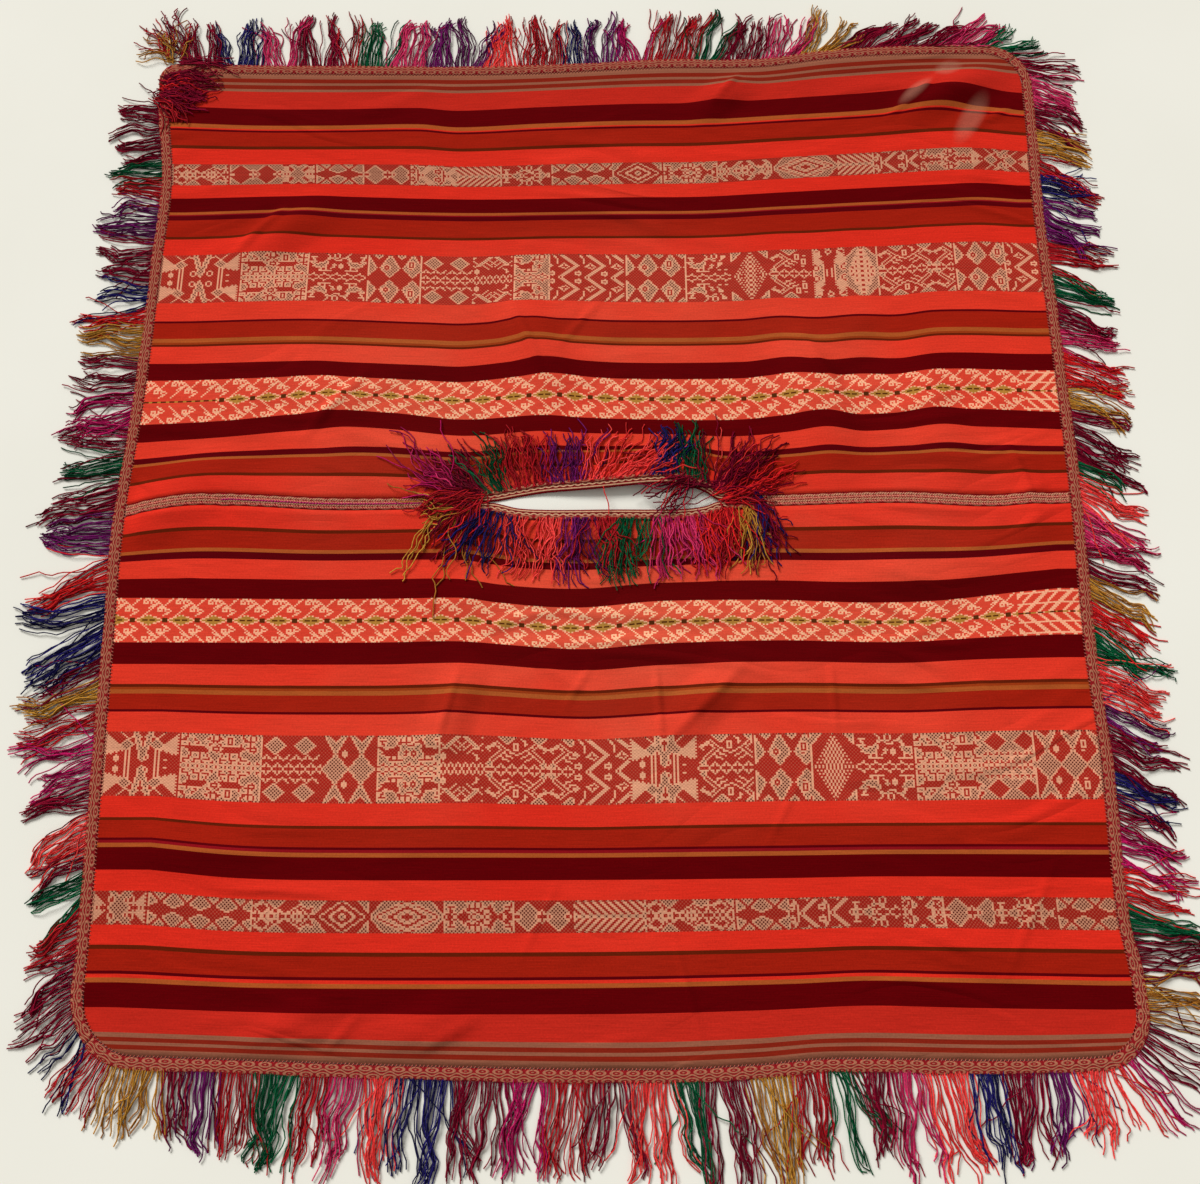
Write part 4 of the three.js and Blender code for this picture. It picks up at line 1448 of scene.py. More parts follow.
def make_yarn_finish():
    """Wool yarn whose shade comes from the mesh, with a slight twist of light and dark."""
    finish, tree, shader = new_finish("plied_wool_yarn", 0.85, 0.02)
    twist = noise(tree, object_place(tree), TWIST_SIZE, 2.0)[0]
    colour = toned(tree, from_mesh(tree, "wool"), twist, *TWIST_TONES)
    finish_surface(tree, shader, colour, raised(tree, twist, TWIST_HIGH, 0.5))
    return finish


yarn_finish = make_yarn_finish()
SEAM_THICK = 2.4
SEAM_BASE_LOW = 0.4
SEAM_STEP = 3
seam_spans = {"left": (seam_left_end + 0.5, SLIT_START - GAP),
              "right": (SLIT_END + GAP + 0.5, seam_right_end)}
seam_strips = {}
for name, (start, end) in seam_spans.items():
    x = np.linspace(start, end, int((end - start + 0.5) / SEAM_STEP))
    inner = np.column_stack([x, seam_y(x) - SEAM_HALF])
    outer = np.column_stack([x, seam_y(x) + SEAM_HALF])
    seam_strips[name] = strip(f"seam_base_{name}", inner, outer, lift,
                              SEAM_THICK - SEAM_BASE_LOW, band_finish)
print("seam strips:", len(seam_strips))

# %% Geometry Nodes helpers
def new_tree(name, sockets):
    """An empty node tree with named inputs."""
    tree = bpy.data.node_groups.new(name, "GeometryNodeTree")
    tree.interface.new_socket("Geometry", in_out="INPUT", socket_type="NodeSocketGeometry")
    for label, kind in sockets.items():
        tree.interface.new_socket(label, in_out="INPUT", socket_type=f"NodeSocket{kind}")
    tree.interface.new_socket("Geometry", in_out="OUTPUT", socket_type="NodeSocketGeometry")
    return tree, put(tree, "NodeGroupInput").outputs


def close_tree(tree, geometry, finish):
    """Ends a tree: instances become real faces, and they get their material."""
    real = out(tree, "GeometryNodeRealizeInstances", {0: geometry})
    smooth = out(tree, "GeometryNodeSetShadeSmooth", {0: real})
    dressed = out(tree, "GeometryNodeSetMaterial", {"Geometry": smooth, "Material": finish})
    put(tree, "NodeGroupOutput", {0: dressed})


def grown(piece, tree, values):
    """Runs a tree on a piece with its inputs set, and leaves the result as a plain mesh."""
    modifier = piece.modifiers.new(tree.name, "NODES")
    modifier.node_group = tree
    for item in tree.interface.items_tree:
        if item.in_out == "INPUT" and item.name in values:
            modifier[item.identifier] = values[item.name]
    depsgraph = bpy.context.evaluated_depsgraph_get()
    result = bpy.data.meshes.new_from_object(piece.evaluated_get(depsgraph), depsgraph=depsgraph)
    piece.modifiers.clear()
    piece.data = result
    return piece


def path_piece(name, points):
    """An object that holds only a path, for a tree to work along."""
    edges = [(i, i + 1) for i in range(len(points) - 1)]
    mesh = bpy.data.meshes.new(name)
    mesh.from_pydata([tuple(point) for point in points], edges, [])
    return in_scene(name, mesh)


# %% The stitching tree
def make_stitch_tree():
    tree, given = new_tree("stitches_on_a_path", {
        "Pitch": "Float", "Slant": "Float", "Length": "Float", "Thread": "Float",
        "Shade": "Color", "Finish": "Material"})
    line = out(tree, "GeometryNodeMeshToCurve", {0: given["Geometry"]})
    steps_on = out(tree, "GeometryNodeResampleCurve", {"Curve": line, "Length": given["Pitch"]},
                   mode="LENGTH")
    ball = out(tree, "GeometryNodeMeshIcoSphere", {"Radius": 0.5, "Subdivisions": 1})
    ahead = out(tree, "GeometryNodeInputTangent")
    facing = out(tree, "FunctionNodeAlignRotationToVector", {"Vector": ahead}, axis="X")
    slant = combined(tree, z=given["Slant"])
    turned = out(tree, "FunctionNodeRotateRotation", {"Rotation": facing, "Rotate By": slant},
                 rotation_space="LOCAL")
    size = combined(tree, given["Length"], given["Thread"], given["Thread"])
    placed = out(tree, "GeometryNodeInstanceOnPoints", {
        "Points": steps_on, "Instance": ball, "Rotation": turned, "Scale": size})
    real = out(tree, "GeometryNodeRealizeInstances", {0: placed})
    dyed = out(tree, "GeometryNodeStoreNamedAttribute",
               {"Geometry": real, "Name": "wool", "Value": given["Shade"]},
               data_type="FLOAT_COLOR", domain="POINT")
    close_tree(tree, dyed, given["Finish"])
    return tree


stitch_tree = make_stitch_tree()


def stitches(name, points, sizes, slant, colour):
    """Stitches along a path; path and sizes in millimetres, slant in degrees."""
    values = {label: size * MM for label, size in sizes.items()}
    return grown(path_piece(name, in_metres(points)), stitch_tree, {
        **values, "Slant": math.radians(slant), "Shade": colour, "Finish": yarn_finish})


# %% Stitch the seam
STITCH_STEP = 4.0
SEAM_STITCH = {"Pitch": 3.4, "Length": 5.6, "Thread": 1.7}
STITCHED_LOW = 0.7
MAGENTA_STITCH = {"Pitch": 4.2, "Length": 4.8, "Thread": 1.9}
MAGENTA_SPAN, MAGENTA_SLANT = (-505, -196), 8
SEAM_ROWS = [
    {"off": 5.2, "slant": 38, "wool": shade(206, 150, 118)},
    {"off": 1.6, "slant": -38, "wool": shade(222, 124, 108)},
    {"off": -1.9, "slant": 38, "wool": shade(200, 146, 114)},
    {"off": -5.4, "slant": -38, "wool": shade(214, 112, 98)},
]
stitched_spans = {"left": (seam_left_end + 2, SLIT_START - 4),
                  "right": (SLIT_END + 4, seam_right_end - 2)}


def seam_path(start, end, off, low):
    """A path beside the seam's middle line, a little below the seam's top."""
    x = np.arange(start, end, STITCH_STEP)
    y = seam_y(x) + off
    return np.column_stack([x, y, lift(x, y) + SEAM_THICK - low])


seam_work = {"left": [], "right": []}
for end, span in stitched_spans.items():
    for number, row in enumerate(SEAM_ROWS):
        path = seam_path(*span, row["off"], STITCHED_LOW)
        seam_work[end].append(stitches(f"seam_stitches_{end}_{number}", path, SEAM_STITCH,
                                       row["slant"], row["wool"]))
magenta_line = seam_path(*MAGENTA_SPAN, -0.2, 0)
seam_work["left"].append(stitches("seam_magenta_line", magenta_line, MAGENTA_STITCH,
                                  MAGENTA_SLANT, shade(188, 34, 110)))
print("seam stitch pieces:", sum(len(rows) for rows in seam_work.values()))

# %% Whip stitches that hold the edge band
WHIP_STITCH = {"Pitch": 4.6, "Length": 5.2, "Thread": 1.3}
WHIP_OUT, WHIP_HIGH, WHIP_SLANT = 0.2, 2.0, 58
edge_work = {}
for name, path in side_paths.items():
    at = path + turned_right(path) * WHIP_OUT
    at = np.column_stack([at, np.full(len(at), WHIP_HIGH)])
    edge_work[name] = stitches(f"edge_whip_stitches_{name}", at, WHIP_STITCH, WHIP_SLANT,
                               shade(176, 92, 78))
print("whip stitched sides:", len(edge_work))

# %% [markdown]
# ## A tree that grows fringe
# A fringe yarn is plied, so it never hangs straight: it waves, lies over its neighbours and drops
# to whatever is beneath it. Hair particles would do, but they can't be exported. This tree starts
# from one point for each yarn, puts a straight line there, bends it with noise, draws its tip
# towards its lock, lays it on a surface by looking straight down, and gives it three sides. The
# script gives each point its direction, reach, shade and the place where its lock gathers.

# %% Parts of the fringe tree
STRAND_APART, LOCKS_APART = 173.0, 7.3
STRAND_GROWTH, LOCK_GROWTH = 0.6, 0.9
LOOK_FROM = 0.3
SETTLED_AT = 0.22
ARCH_PART = 0.9


def named(tree, label, kind="FLOAT"):
    """Reads a yarn's own value."""
    node = put(tree, "GeometryNodeInputNamedAttribute", {"Name": label}, data_type=kind)
    return node.outputs["Attribute"]


def straight_yarns(tree, given, reach):
    """A straight line of each yarn's reach and heading, from each root."""
    straight = out(tree, "GeometryNodeCurvePrimitiveLine", {"End": (1, 0, 0)})
    line = out(tree, "GeometryNodeResampleCurve", {"Curve": straight, "Count": given["Points"]},
               mode="COUNT")
    heading = combined(tree, z=named(tree, "heading"))
    facing = out(tree, "FunctionNodeEulerToRotation", {0: heading})
    placed = out(tree, "GeometryNodeInstanceOnPoints", {
        "Points": given["Geometry"], "Instance": line, "Rotation": facing,
        "Scale": combined(tree, reach, reach, reach)})
    return out(tree, "GeometryNodeRealizeInstances", {0: placed})


def wave(tree, given, kind, part, reach, own, growth):
    """A sideways wave from noise that grows towards the tip."""
    steps_along = calc(tree, "DIVIDE", times(tree, part, reach),
                       given[f"{kind} Wave Length"])
    at = combined(tree, steps_along, own, given["Seed"])
    centred = vector_calc(tree, "SUBTRACT", noise(tree, at, 1.0, 1.0)["Color"], (0.5, 0.5, 0.5))
    return scaled(tree, centred, times(tree, given[f"{kind} Wave"],
                                      calc(tree, "POWER", part, growth)))


def resting_place(tree, given, part):
    """A point's place on the surface below it, with a low arch where yarns are piled up."""
    x, y, _ = split(tree, out(tree, "GeometryNodeInputPosition"))
    surface = put(tree, "GeometryNodeObjectInfo", {"Object": given["Lies On"]},
                  transform_space="RELATIVE").outputs["Geometry"]
    look = put(tree, "GeometryNodeRaycast", {
        "Target Geometry": surface, "Source Position": combined(tree, x, y, LOOK_FROM),
        "Ray Direction": (0, 0, -1), "Ray Length": 1.0})
    ground = times(tree, split(tree, look.outputs["Hit Position"])[2],
                  look.outputs["Is Hit"])
    ground = calc(tree, "MAXIMUM", ground, 0.0)
    arch = calc(tree, "SINE", times(tree, part, math.pi * ARCH_PART))
    hump = times(tree, named(tree, "pile"), arch)
    resting = calc(tree, "ADD", calc(tree, "ADD", ground, given["Yarn Radius"]), hump)
    rooted = named(tree, "rooted")
    settled = ramp(tree, part, 0.0, SETTLED_AT)
    height = calc(tree, "MULTIPLY_ADD", calc(tree, "SUBTRACT", resting, rooted), settled, rooted)
    return combined(tree, x, y, height)


# %% Fringe tree
def make_fringe_tree():
    tree, given = new_tree("yarns_laid_down", {
        "Lies On": "Object", "Yarn Radius": "Float", "Yarn Wave": "Float",
        "Yarn Wave Length": "Float", "Lock Wave": "Float", "Lock Wave Length": "Float",
        "Points": "Int", "Seed": "Float", "Finish": "Material"})
    reach = named(tree, "reach")
    yarns = straight_yarns(tree, given, reach)
    part = put(tree, "GeometryNodeSplineParameter").outputs["Factor"]
    strand = times(tree, named(tree, "strand"), STRAND_APART)
    lock = times(tree, named(tree, "lock"), LOCKS_APART)
    waved = vector_calc(
        tree, "ADD", wave(tree, given, "Yarn", part, reach, strand, STRAND_GROWTH),
        wave(tree, given, "Lock", part, reach, lock, LOCK_GROWTH))
    gather = scaled(tree, named(tree, "gather", "FLOAT_VECTOR"),
                    times(tree, part, part))
    bent = out(tree, "GeometryNodeSetPosition", {
        "Geometry": yarns, "Offset": vector_calc(tree, "ADD", waved, gather)})
    laid = out(tree, "GeometryNodeSetPosition", {
        "Geometry": bent, "Position": resting_place(tree, given, part)})
    section = out(tree, "GeometryNodeCurvePrimitiveCircle", {
        "Resolution": 3, "Radius": given["Yarn Radius"]})
    round_yarns = out(tree, "GeometryNodeCurveToMesh", {
        "Curve": laid, "Profile Curve": section, "Fill Caps": True})
    close_tree(tree, round_yarns, given["Finish"])
    return tree


fringe_tree = make_fringe_tree()
print("fringe tree nodes:", len(fringe_tree.nodes))

# %% Roots for a fringe
YARN_RADIUS = 0.92
yarn_shades = {
    "wine": (shade(130, 10, 40), shade(98, 4, 28)),
    "navy": (shade(30, 24, 92), shade(22, 20, 60)),
    "green": (shade(8, 88, 52), shade(4, 60, 34)),
    "rose": (shade(206, 50, 98), shade(170, 30, 74)),
    "coral": (shade(236, 70, 66), shade(212, 48, 46)),
    "rust": (shade(178, 26, 34), shade(138, 16, 24)),
    "purple": (shade(110, 22, 92), shade(78, 14, 62)),
    "ochre": (shade(186, 132, 50), shade(158, 100, 36)),
    "magenta": (shade(186, 24, 92), shade(148, 16, 70)),
    "red": (shade(214, 34, 34), shade(168, 22, 26)),
}


def roots_piece(name, columns):
    """An object with one point for each yarn, holding the yarn's own values."""
    count = len(columns["place"])
    mesh = bpy.data.meshes.new(name)
    mesh.vertices.add(count)
    mesh.vertices.foreach_set("co", in_metres(columns["place"]).ravel())
    for label in ("heading", "reach", "strand", "lock", "pile", "rooted"):
        keep_values(mesh, label, "FLOAT", "POINT", columns[label])
    keep_values(mesh, "gather", "FLOAT_VECTOR", "POINT", columns["gather"])
    keep_values(mesh, "wool", "FLOAT_COLOR", "POINT", columns["wool"])
    return in_scene(name, mesh)


# %% Locks, colours and growing
YARN_TONES = (0.8, 1.2)
WAVE_COLUMNS = ("Yarn Wave", "Yarn Wave Length", "Lock Wave", "Lock Wave Length")
yarn_waves = {"outer": (20, 26, 56, 56), "neck": (30, 27, 52, 42), "loose": (46, 36, 46, 60)}
YARN_POINTS = {"outer": 15, "neck": 16, "loose": 17}
TREE_SEED = {"outer": 3.0, "neck": 9.0, "loose": 21.0}
FIRST_SEED = {"outer": 40, "neck": 71, "loose": 5}


def lock_middles(places, lock, count):
    """The middle of each lock's roots."""
    return np.array([places[lock == k].mean() if (lock == k).any() else 0 for k in range(count)])


def dyed_by_place(rows, places, chance):
    """A shade for each yarn, from a table of where the colours start."""
    starts = np.array([start for start, _ in rows])
    group = np.clip(np.searchsorted(starts, places) - 1, 0, len(starts) - 1)
    colours = np.array([yarn_shades[name] for _, name in rows])
    picked = colours[group, chance.integers(0, 2, len(places))]
    return picked * chance.uniform(*YARN_TONES, (len(places), 1))


def grow_yarns(name, columns, lies_on, kind, number):
    """Grows one piece of fringe on a surface, in one of the three ways of waving."""
    waves = {label: value * MM for label, value in zip(WAVE_COLUMNS, yarn_waves[kind])}
    return grown(roots_piece(name, columns), fringe_tree, {
        **waves, "Lies On": lies_on, "Yarn Radius": YARN_RADIUS * MM,
        "Points": YARN_POINTS[kind], "Seed": TREE_SEED[kind] + number, "Finish": yarn_finish})


# %% [markdown]
# ## The outer fringe
# The fringe is sewn under the edge band in groups of one colour, and each group falls into locks
# whose tips cling together. A table for each side gives where a colour starts. The reach and the
# lean of the yarns come from the same tables as the solids, so the fringe covers the same floor.

# %% Colours round the edge
fringe_colours = {
    "top": {"along": "x", "rows": [
        (-700, "ochre"), (-613, "wine"), (-568, "navy"), (-507, "rose"), (-454, "wine"),
        (-386, "rust"), (-363, "green"), (-318, "rose"), (-265, "purple"), (-176, "coral"),
        (-121, "rust"), (-53, "navy"), (-23, "purple"), (23, "magenta"), (68, "rust"),
        (143, "green"), (182, "wine"), (242, "rose"), (300, "ochre"), (352, "wine"),
        (515, "rose"), (572, "green"), (621, "wine")]},
    "bottom": {"along": "x", "rows": [
        (-700, "rust"), (-578, "ochre"), (-510, "wine"), (-478, "purple"), (-449, "rust"),
        (-403, "green"), (-350, "rust"), (-312, "rose"), (-277, "coral"), (-236, "navy"),
        (-172, "wine"), (-110, "magenta"), (-55, "rust"), (-4, "wine"), (35, "coral"),
        (83, "green"), (117, "wine"), (171, "ochre"), (228, "rust"), (264, "green"),
        (298, "wine"), (344, "rose"), (376, "coral"), (438, "navy"), (470, "wine"),
        (521, "purple"), (554, "coral"), (613, "magenta")]},
    "right": {"along": "y", "rows": [
        (-740, "wine"), (-652, "ochre"), (-605, "wine"), (-555, "green"), (-520, "red"),
        (-473, "magenta"), (-432, "wine"), (-392, "navy"), (-356, "wine"), (-296, "purple"),
        (-266, "coral"), (-212, "green"), (-172, "red"), (-132, "ochre"), (-104, "wine"),
        (-55, "rose"), (-6, "coral"), (40, "green"), (66, "wine"), (136, "ochre"),
        (173, "red"), (227, "rose"), (258, "wine"), (305, "green"), (349, "rust"),
        (400, "purple"), (468, "navy"), (507, "rust"), (544, "ochre"), (587, "wine"),
        (631, "rose"), (684, "wine")]},
    "left": {"along": "y", "rows": [
        (-740, "navy"), (-658, "wine"), (-580, "rust"), (-517, "green"), (-480, "wine"),
        (-460, "coral"), (-410, "wine"), (-369, "magenta"), (-306, "rust"), (-272, "ochre"),
        (-234, "wine"), (-205, "navy"), (-125, "red"), (-72, "purple"), (-16, "wine"),
        (33, "green"), (69, "wine"), (102, "magenta"), (155, "wine"), (215, "ochre"),
        (266, "red"), (290, "navy"), (325, "wine"), (402, "purple"), (455, "rust"),
        (501, "green"), (535, "wine"), (640, "rust")]},
}
fringe_lay = {
    "left": {"part": [0, 0.12, 0.35, 0.6, 0.8, 0.9, 1], "reach": [66, 74, 86, 104, 82, 62, 80],
             "lean": [-14, 0, 6, 16, 20, 34, 30]},
    "bottom": {"part": [0, 0.1, 0.2, 0.5, 0.8, 1], "reach": [76, 84, 102, 114, 110, 98],
               "lean": [-12, 6, -2, 0, 5, 0]},
    "right": {"part": [0, 0.25, 0.6, 0.9, 1], "reach": [94, 88, 94, 84, 76],
              "lean": [-4, -24, -24, -22, -24]},
    "top": {"part": [0, 0.1, 0.22, 0.32, 0.6, 0.9, 1], "reach": [64, 74, 74, 78, 86, 80, 66],
            "lean": [-38, -60, -60, -18, 0, 6, 14]},
}

# %% Give every outer yarn its values
YARN_PITCH = 1.72
LOCK_WIDE = (9, 30)
LOCK_REACH, YARN_REACH, REACH_MORE = (0.78, 1.08), (0.8, 1.04), 5
LOCK_LEAN, YARN_LEAN = 8, 3
STRAY_SHARE, STRAY_LEAN = 0.09, 22
GATHER_SHARE, GATHER_SPREAD = 0.7, (0.3, 1.3)
ROOT_DEPTH, ROOT_HIGH = (1.0, 5.0), (0.9, 2.2)
OUTER_PILE = 4.5
COLOUR_MIX = 5
BARE_CORNER = {"above": 632, "left of": -632}


def outer_roots(name, chance):
    """The values of all yarns of one side."""
    path = side_paths[name]
    outward = turned_right(path)
    length = (len(path) - 1) * PATH_STEP
    count = int(length / YARN_PITCH)
    at = (np.arange(count) + chance.uniform(0, 1, count)) / count * length
    steps_along = np.arange(len(path)) * PATH_STEP
    root, outwards = (np.column_stack([np.interp(at, steps_along, line[:, k]) for k in range(2)])
                 for line in (path, outward))
    root = root + outwards * (GAP + BAND_WIDE - chance.uniform(*ROOT_DEPTH, count))[:, None]
    part = at / length
    lay = fringe_lay[name]
    lock_ends = np.cumsum(chance.uniform(*LOCK_WIDE, int(length / LOCK_WIDE[0]) + 2))
    lock = np.searchsorted(lock_ends, at)
    locks = len(lock_ends)
    lock_lean = chance.normal(0, LOCK_LEAN, locks)[lock]
    lock_reach = chance.uniform(*LOCK_REACH, locks)[lock]
    is_stray = chance.uniform(0, 1, count) < STRAY_SHARE
    stray = np.where(is_stray, chance.normal(0, STRAY_LEAN, count), 0)
    lean = through(lay, "part", "lean")(part) + lock_lean
    lean = lean + chance.normal(0, YARN_LEAN, count) + stray
    reach = through(lay, "part", "reach")(part) * lock_reach
    reach = reach * chance.uniform(*YARN_REACH, count) + REACH_MORE
    aside = (lock_middles(at, lock, locks)[lock] - at) * GATHER_SHARE
    aside = aside * chance.uniform(*GATHER_SPREAD, count)
    ahead = np.column_stack([-outwards[:, 1], outwards[:, 0], np.zeros(count)])
    table = fringe_colours[name]
    places = root[:, 0 if table["along"] == "x" else 1] + chance.normal(0, COLOUR_MIX, count)
    wools = dyed_by_place(table["rows"], places, chance)
    rooted = chance.uniform(*ROOT_HIGH, count)
    columns = {
        "place": np.column_stack([root, rooted]), "reach": reach * MM, "lock": lock,
        "heading": np.arctan2(outwards[:, 1], outwards[:, 0]) + np.radians(lean),
        "strand": chance.uniform(0, 1, count), "pile": chance.uniform(0, OUTER_PILE, count) * MM,
        "rooted": rooted * MM, "gather": ahead * aside[:, None] * MM, "wool": wools,
    }
    kept = (root[:, 1] < BARE_CORNER["above"]) | (root[:, 0] > BARE_CORNER["left of"])
    return {label: values[kept] for label, values in columns.items()}


# %% [markdown]
# The floor is a plain pale slab that the poncho lies on. It could wait until the lights, but the
# yarns look for it when they settle, so it is made here.

# %% Floor
FLOOR_HALF = 4.0
FLOOR_LOW = -0.0002


def make_floor_finish():
    finish, tree, shader = new_finish("pale_floor", 0.55)
    clouds = noise(tree, object_place(tree), 2.2, 4.0)[0]
    colour = blended(tree, "MIX", clouds, shade(230, 228, 216), shade(240, 238, 228))
    tree.links.new(colour, shader.inputs["Base Color"])
    return finish


corners = [(x * FLOOR_HALF, y * FLOOR_HALF, FLOOR_LOW)
           for x, y in ((-1, -1), (1, -1), (1, 1), (-1, 1))]
floor = piece_from("floor", corners, [[0, 1, 2, 3]], make_floor_finish(), smooth=False)
print("floor is", 2 * FLOOR_HALF, "m wide")

# %% Grow the outer fringe
outer_fringe = {}
for number, name in enumerate(side_paths):
    columns = outer_roots(name, np.random.default_rng(FIRST_SEED["outer"] + number))
    outer_fringe[name] = grow_yarns(f"fringe_{name}", columns, floor, "outer", number)
    print(name, "fringe faces:", len(outer_fringe[name].data.polygons))

# %% [markdown]
# ## The neck fringe
# Round the slit the fringe is shorter and falls over the cloth. It uses the same tree, with the
# panel below it as the surface to lie on. At both ends of the slit the yarns fan out along the
# seam. A narrow strip, like the heading tape of a bought fringe, holds their roots to the border.

# %% Neck fringe values
neck_colours = {
    "upper": [(-300, "magenta"), (-180, "wine"), (-150, "green"), (-122, "rust"), (-62, "purple"),
              (-20, "coral"), (62, "navy"), (100, "green"), (140, "wine"), (190, "red")],
    "lower": [(-300, "ochre"), (-172, "red"), (-160, "navy"), (-122, "coral"), (-48, "purple"),
              (-14, "rust"), (26, "green"), (76, "rose"), (132, "red"), (186, "ochre"),
              (203, "navy")],
}
neck_lay = {
    "upper": {"x": [-190, -158, -120, -60, -10, 25, 70, 105, 150, 185, 215],
              "reach": [70, 84, 88, 74, 84, 80, 78, 76, 78, 72, 66],
              "turn": [-68, -30, -14, -4, 10, 50, 40, -6, 10, 36, 66]},
    "lower": {"x": [-190, -158, -120, 0, 150, 185, 215],
              "reach": [74, 80, 80, 82, 80, 72, 66],
              "turn": [-60, -30, -10, 2, 8, 30, 60]},
}
NECK_HEADING, HEADING_THICK = 5, 1.6
NECK_YARNS = 330
NECK_LOCKS, NECK_LOCK_WIDE = 40, 21
NECK_LOCK_TURN, NECK_YARN_TURN = 9, 12
NECK_REACH = (0.62, 1.1)
NECK_GATHER = 0.45
NECK_PILE = (0.5, 7)
NECK_COLOUR_MIX = 6


def neck_roots(name, chance):
    """The values of all yarns of one lip."""
    inner, outer = neck_edges(SIDE[name])
    middle = outer + (inner - outer) * (NECK_HEADING / 2 / BAND_WIDE)
    pick = chance.uniform(0, len(middle) - 1, NECK_YARNS)
    x, y = (np.interp(pick, np.arange(len(middle)), middle[:, k]) for k in range(2))
    y = y + chance.uniform(-1.5, 1.5, NECK_YARNS)
    lock = np.floor((x + 200) / NECK_LOCK_WIDE + 0.3 * np.sin(x / 23)).astype(int)
    lock_turn = chance.normal(0, NECK_LOCK_TURN, NECK_LOCKS)[lock]
    turn = through(neck_lay[name], "x", "turn")(x) + lock_turn
    turn = turn + chance.normal(0, NECK_YARN_TURN, NECK_YARNS)
    reach = through(neck_lay[name], "x", "reach")(x) * chance.uniform(*NECK_REACH, NECK_YARNS)
    aside = (lock_middles(x, lock, NECK_LOCKS)[lock] - x) * NECK_GATHER
    places = x + chance.normal(0, NECK_COLOUR_MIX, NECK_YARNS)
    wools = dyed_by_place(neck_colours[name], places, chance)
    rooted = lift(x, y) + BAND_THICK + chance.uniform(0.8, 2.4, NECK_YARNS)
    return {
        "place": np.column_stack([x, y, rooted]), "reach": reach * MM, "lock": lock,
        "heading": SIDE[name] * (math.pi / 2 - np.radians(turn)),
        "strand": chance.uniform(0, 1, NECK_YARNS),
        "pile": chance.uniform(*NECK_PILE, NECK_YARNS) * MM, "rooted": rooted * MM,
        "gather": np.column_stack([aside, np.zeros((NECK_YARNS, 2))]) * MM, "wool": wools,
    }


# %% Grow the neck fringe
cloths = {"upper": cloth_upper, "lower": cloth_lower}
neck_fringe = {}
for number, (name, cloth) in enumerate(cloths.items()):
    columns = neck_roots(name, np.random.default_rng(FIRST_SEED["neck"] + number))
    neck_fringe[name] = grow_yarns(f"neck_yarns_{name}", columns, cloth, "neck", number)
    print(name, "neck fringe faces:", len(neck_fringe[name].data.polygons))


# %% Headings of the neck fringe
def border_top(x, y):
    return lift(x, y) + BAND_THICK


neck_headings = {}
for name, side in SIDE.items():
    inner, outer = neck_edges(side)
    toward = (inner - outer) / np.linalg.norm(inner - outer, axis=1)[:, None]
    neck_headings[name] = strip(f"neck_heading_{name}", outer + toward * NECK_HEADING, outer,
                                border_top, HEADING_THICK, band_finish)
print("neck headings:", len(neck_headings))

# %% [markdown]
# ## Bunches of loose yarns
# At both ends of the slit the fringe has slipped into tangled bunches, some of its yarns cross the
# slit, and at the upper left the end of the edge fringe is folded back over the corner. A bunch is
# one row: its wool, the middle and spread of its roots, the direction it lies in, how far it fans
# out, its reach and the number of yarns. The yarns lie over everything below them, so the tree
# gets one joined surface to look for, with the open slit bridged.

# %% Where the bunches lie
BUNCH_COLUMNS = ("wool", "x", "y", "spread", "turn", "fan", "reach", "yarns")
neck_bunches = [
    ("wine", -160, 24, 12, 150, 22, 70, 26),
    ("rust", -160, 10, 14, -140, 26, 84, 34),
    ("wine", -172, -2, 12, -112, 20, 82, 28),
    ("rust", -182, 8, 14, 176, 26, 62, 22),
    ("magenta", -190, 8, 8, 130, 16, 118, 14),
    ("rose", -192, 2, 7, 112, 18, 96, 5),
    ("ochre", -214, -14, 8, -107, 16, 104, 6),
    ("ochre", -198, -24, 7, -78, 20, 122, 7),
    ("ochre", -230, 4, 5, 158, 8, 56, 2),
    ("wine", 154, 21, 10, 32, 22, 112, 30),
    ("red", 160, 12, 9, 20, 20, 96, 16),
    ("rust", 172, 2, 12, 4, 34, 66, 24),
    ("coral", 160, 24, 6, 72, 16, 84, 6),
    ("wine", 206, 10, 8, -72, 12, 120, 26),
    ("navy", 210, 14, 6, -78, 10, 116, 14),
    ("ochre", 198, -16, 8, -84, 16, 92, 15),
    ("rust", 172, -14, 12, -88, 16, 88, 24),
    ("rose", 130, -24, 8, -55, 14, 84, 6),
    ("magenta", 92, -20, 8, -84, 16, 76, 6),
    ("wine", 122, 32, 16, -150, 20, 86, 16),
    ("wine", 152, 24, 9, -172, 14, 96, 10),
    ("rust", 108, 34, 12, -118, 20, 70, 8),
    ("coral", 4, 20, 1, -66, 4, 42, 1),
]
corner_bunches = [
    ("wine", -654, 652, 16, -10, 18, 68, 56),
    ("rust", -656, 640, 12, -30, 18, 64, 24),
    ("wine", -650, 676, 12, -18, 16, 76, 34),
    ("red", -655, 662, 8, 4, 12, 60, 10),
    ("wine", -634, 706, 6, -5, 7, 88, 12),
    ("ochre", -644, 706, 9, 122, 34, 62, 20),
    ("rust", -652, 716, 7, 128, 20, 72, 12),
    ("wine", -612, 704, 9, 112, 12, 96, 16),
]


LOCK_APART = 3.1
BUNCH_REACH, BUNCH_PILE, BUNCH_TONES = (0.6, 1.08), (0.5, 6), (0.75, 1.15)


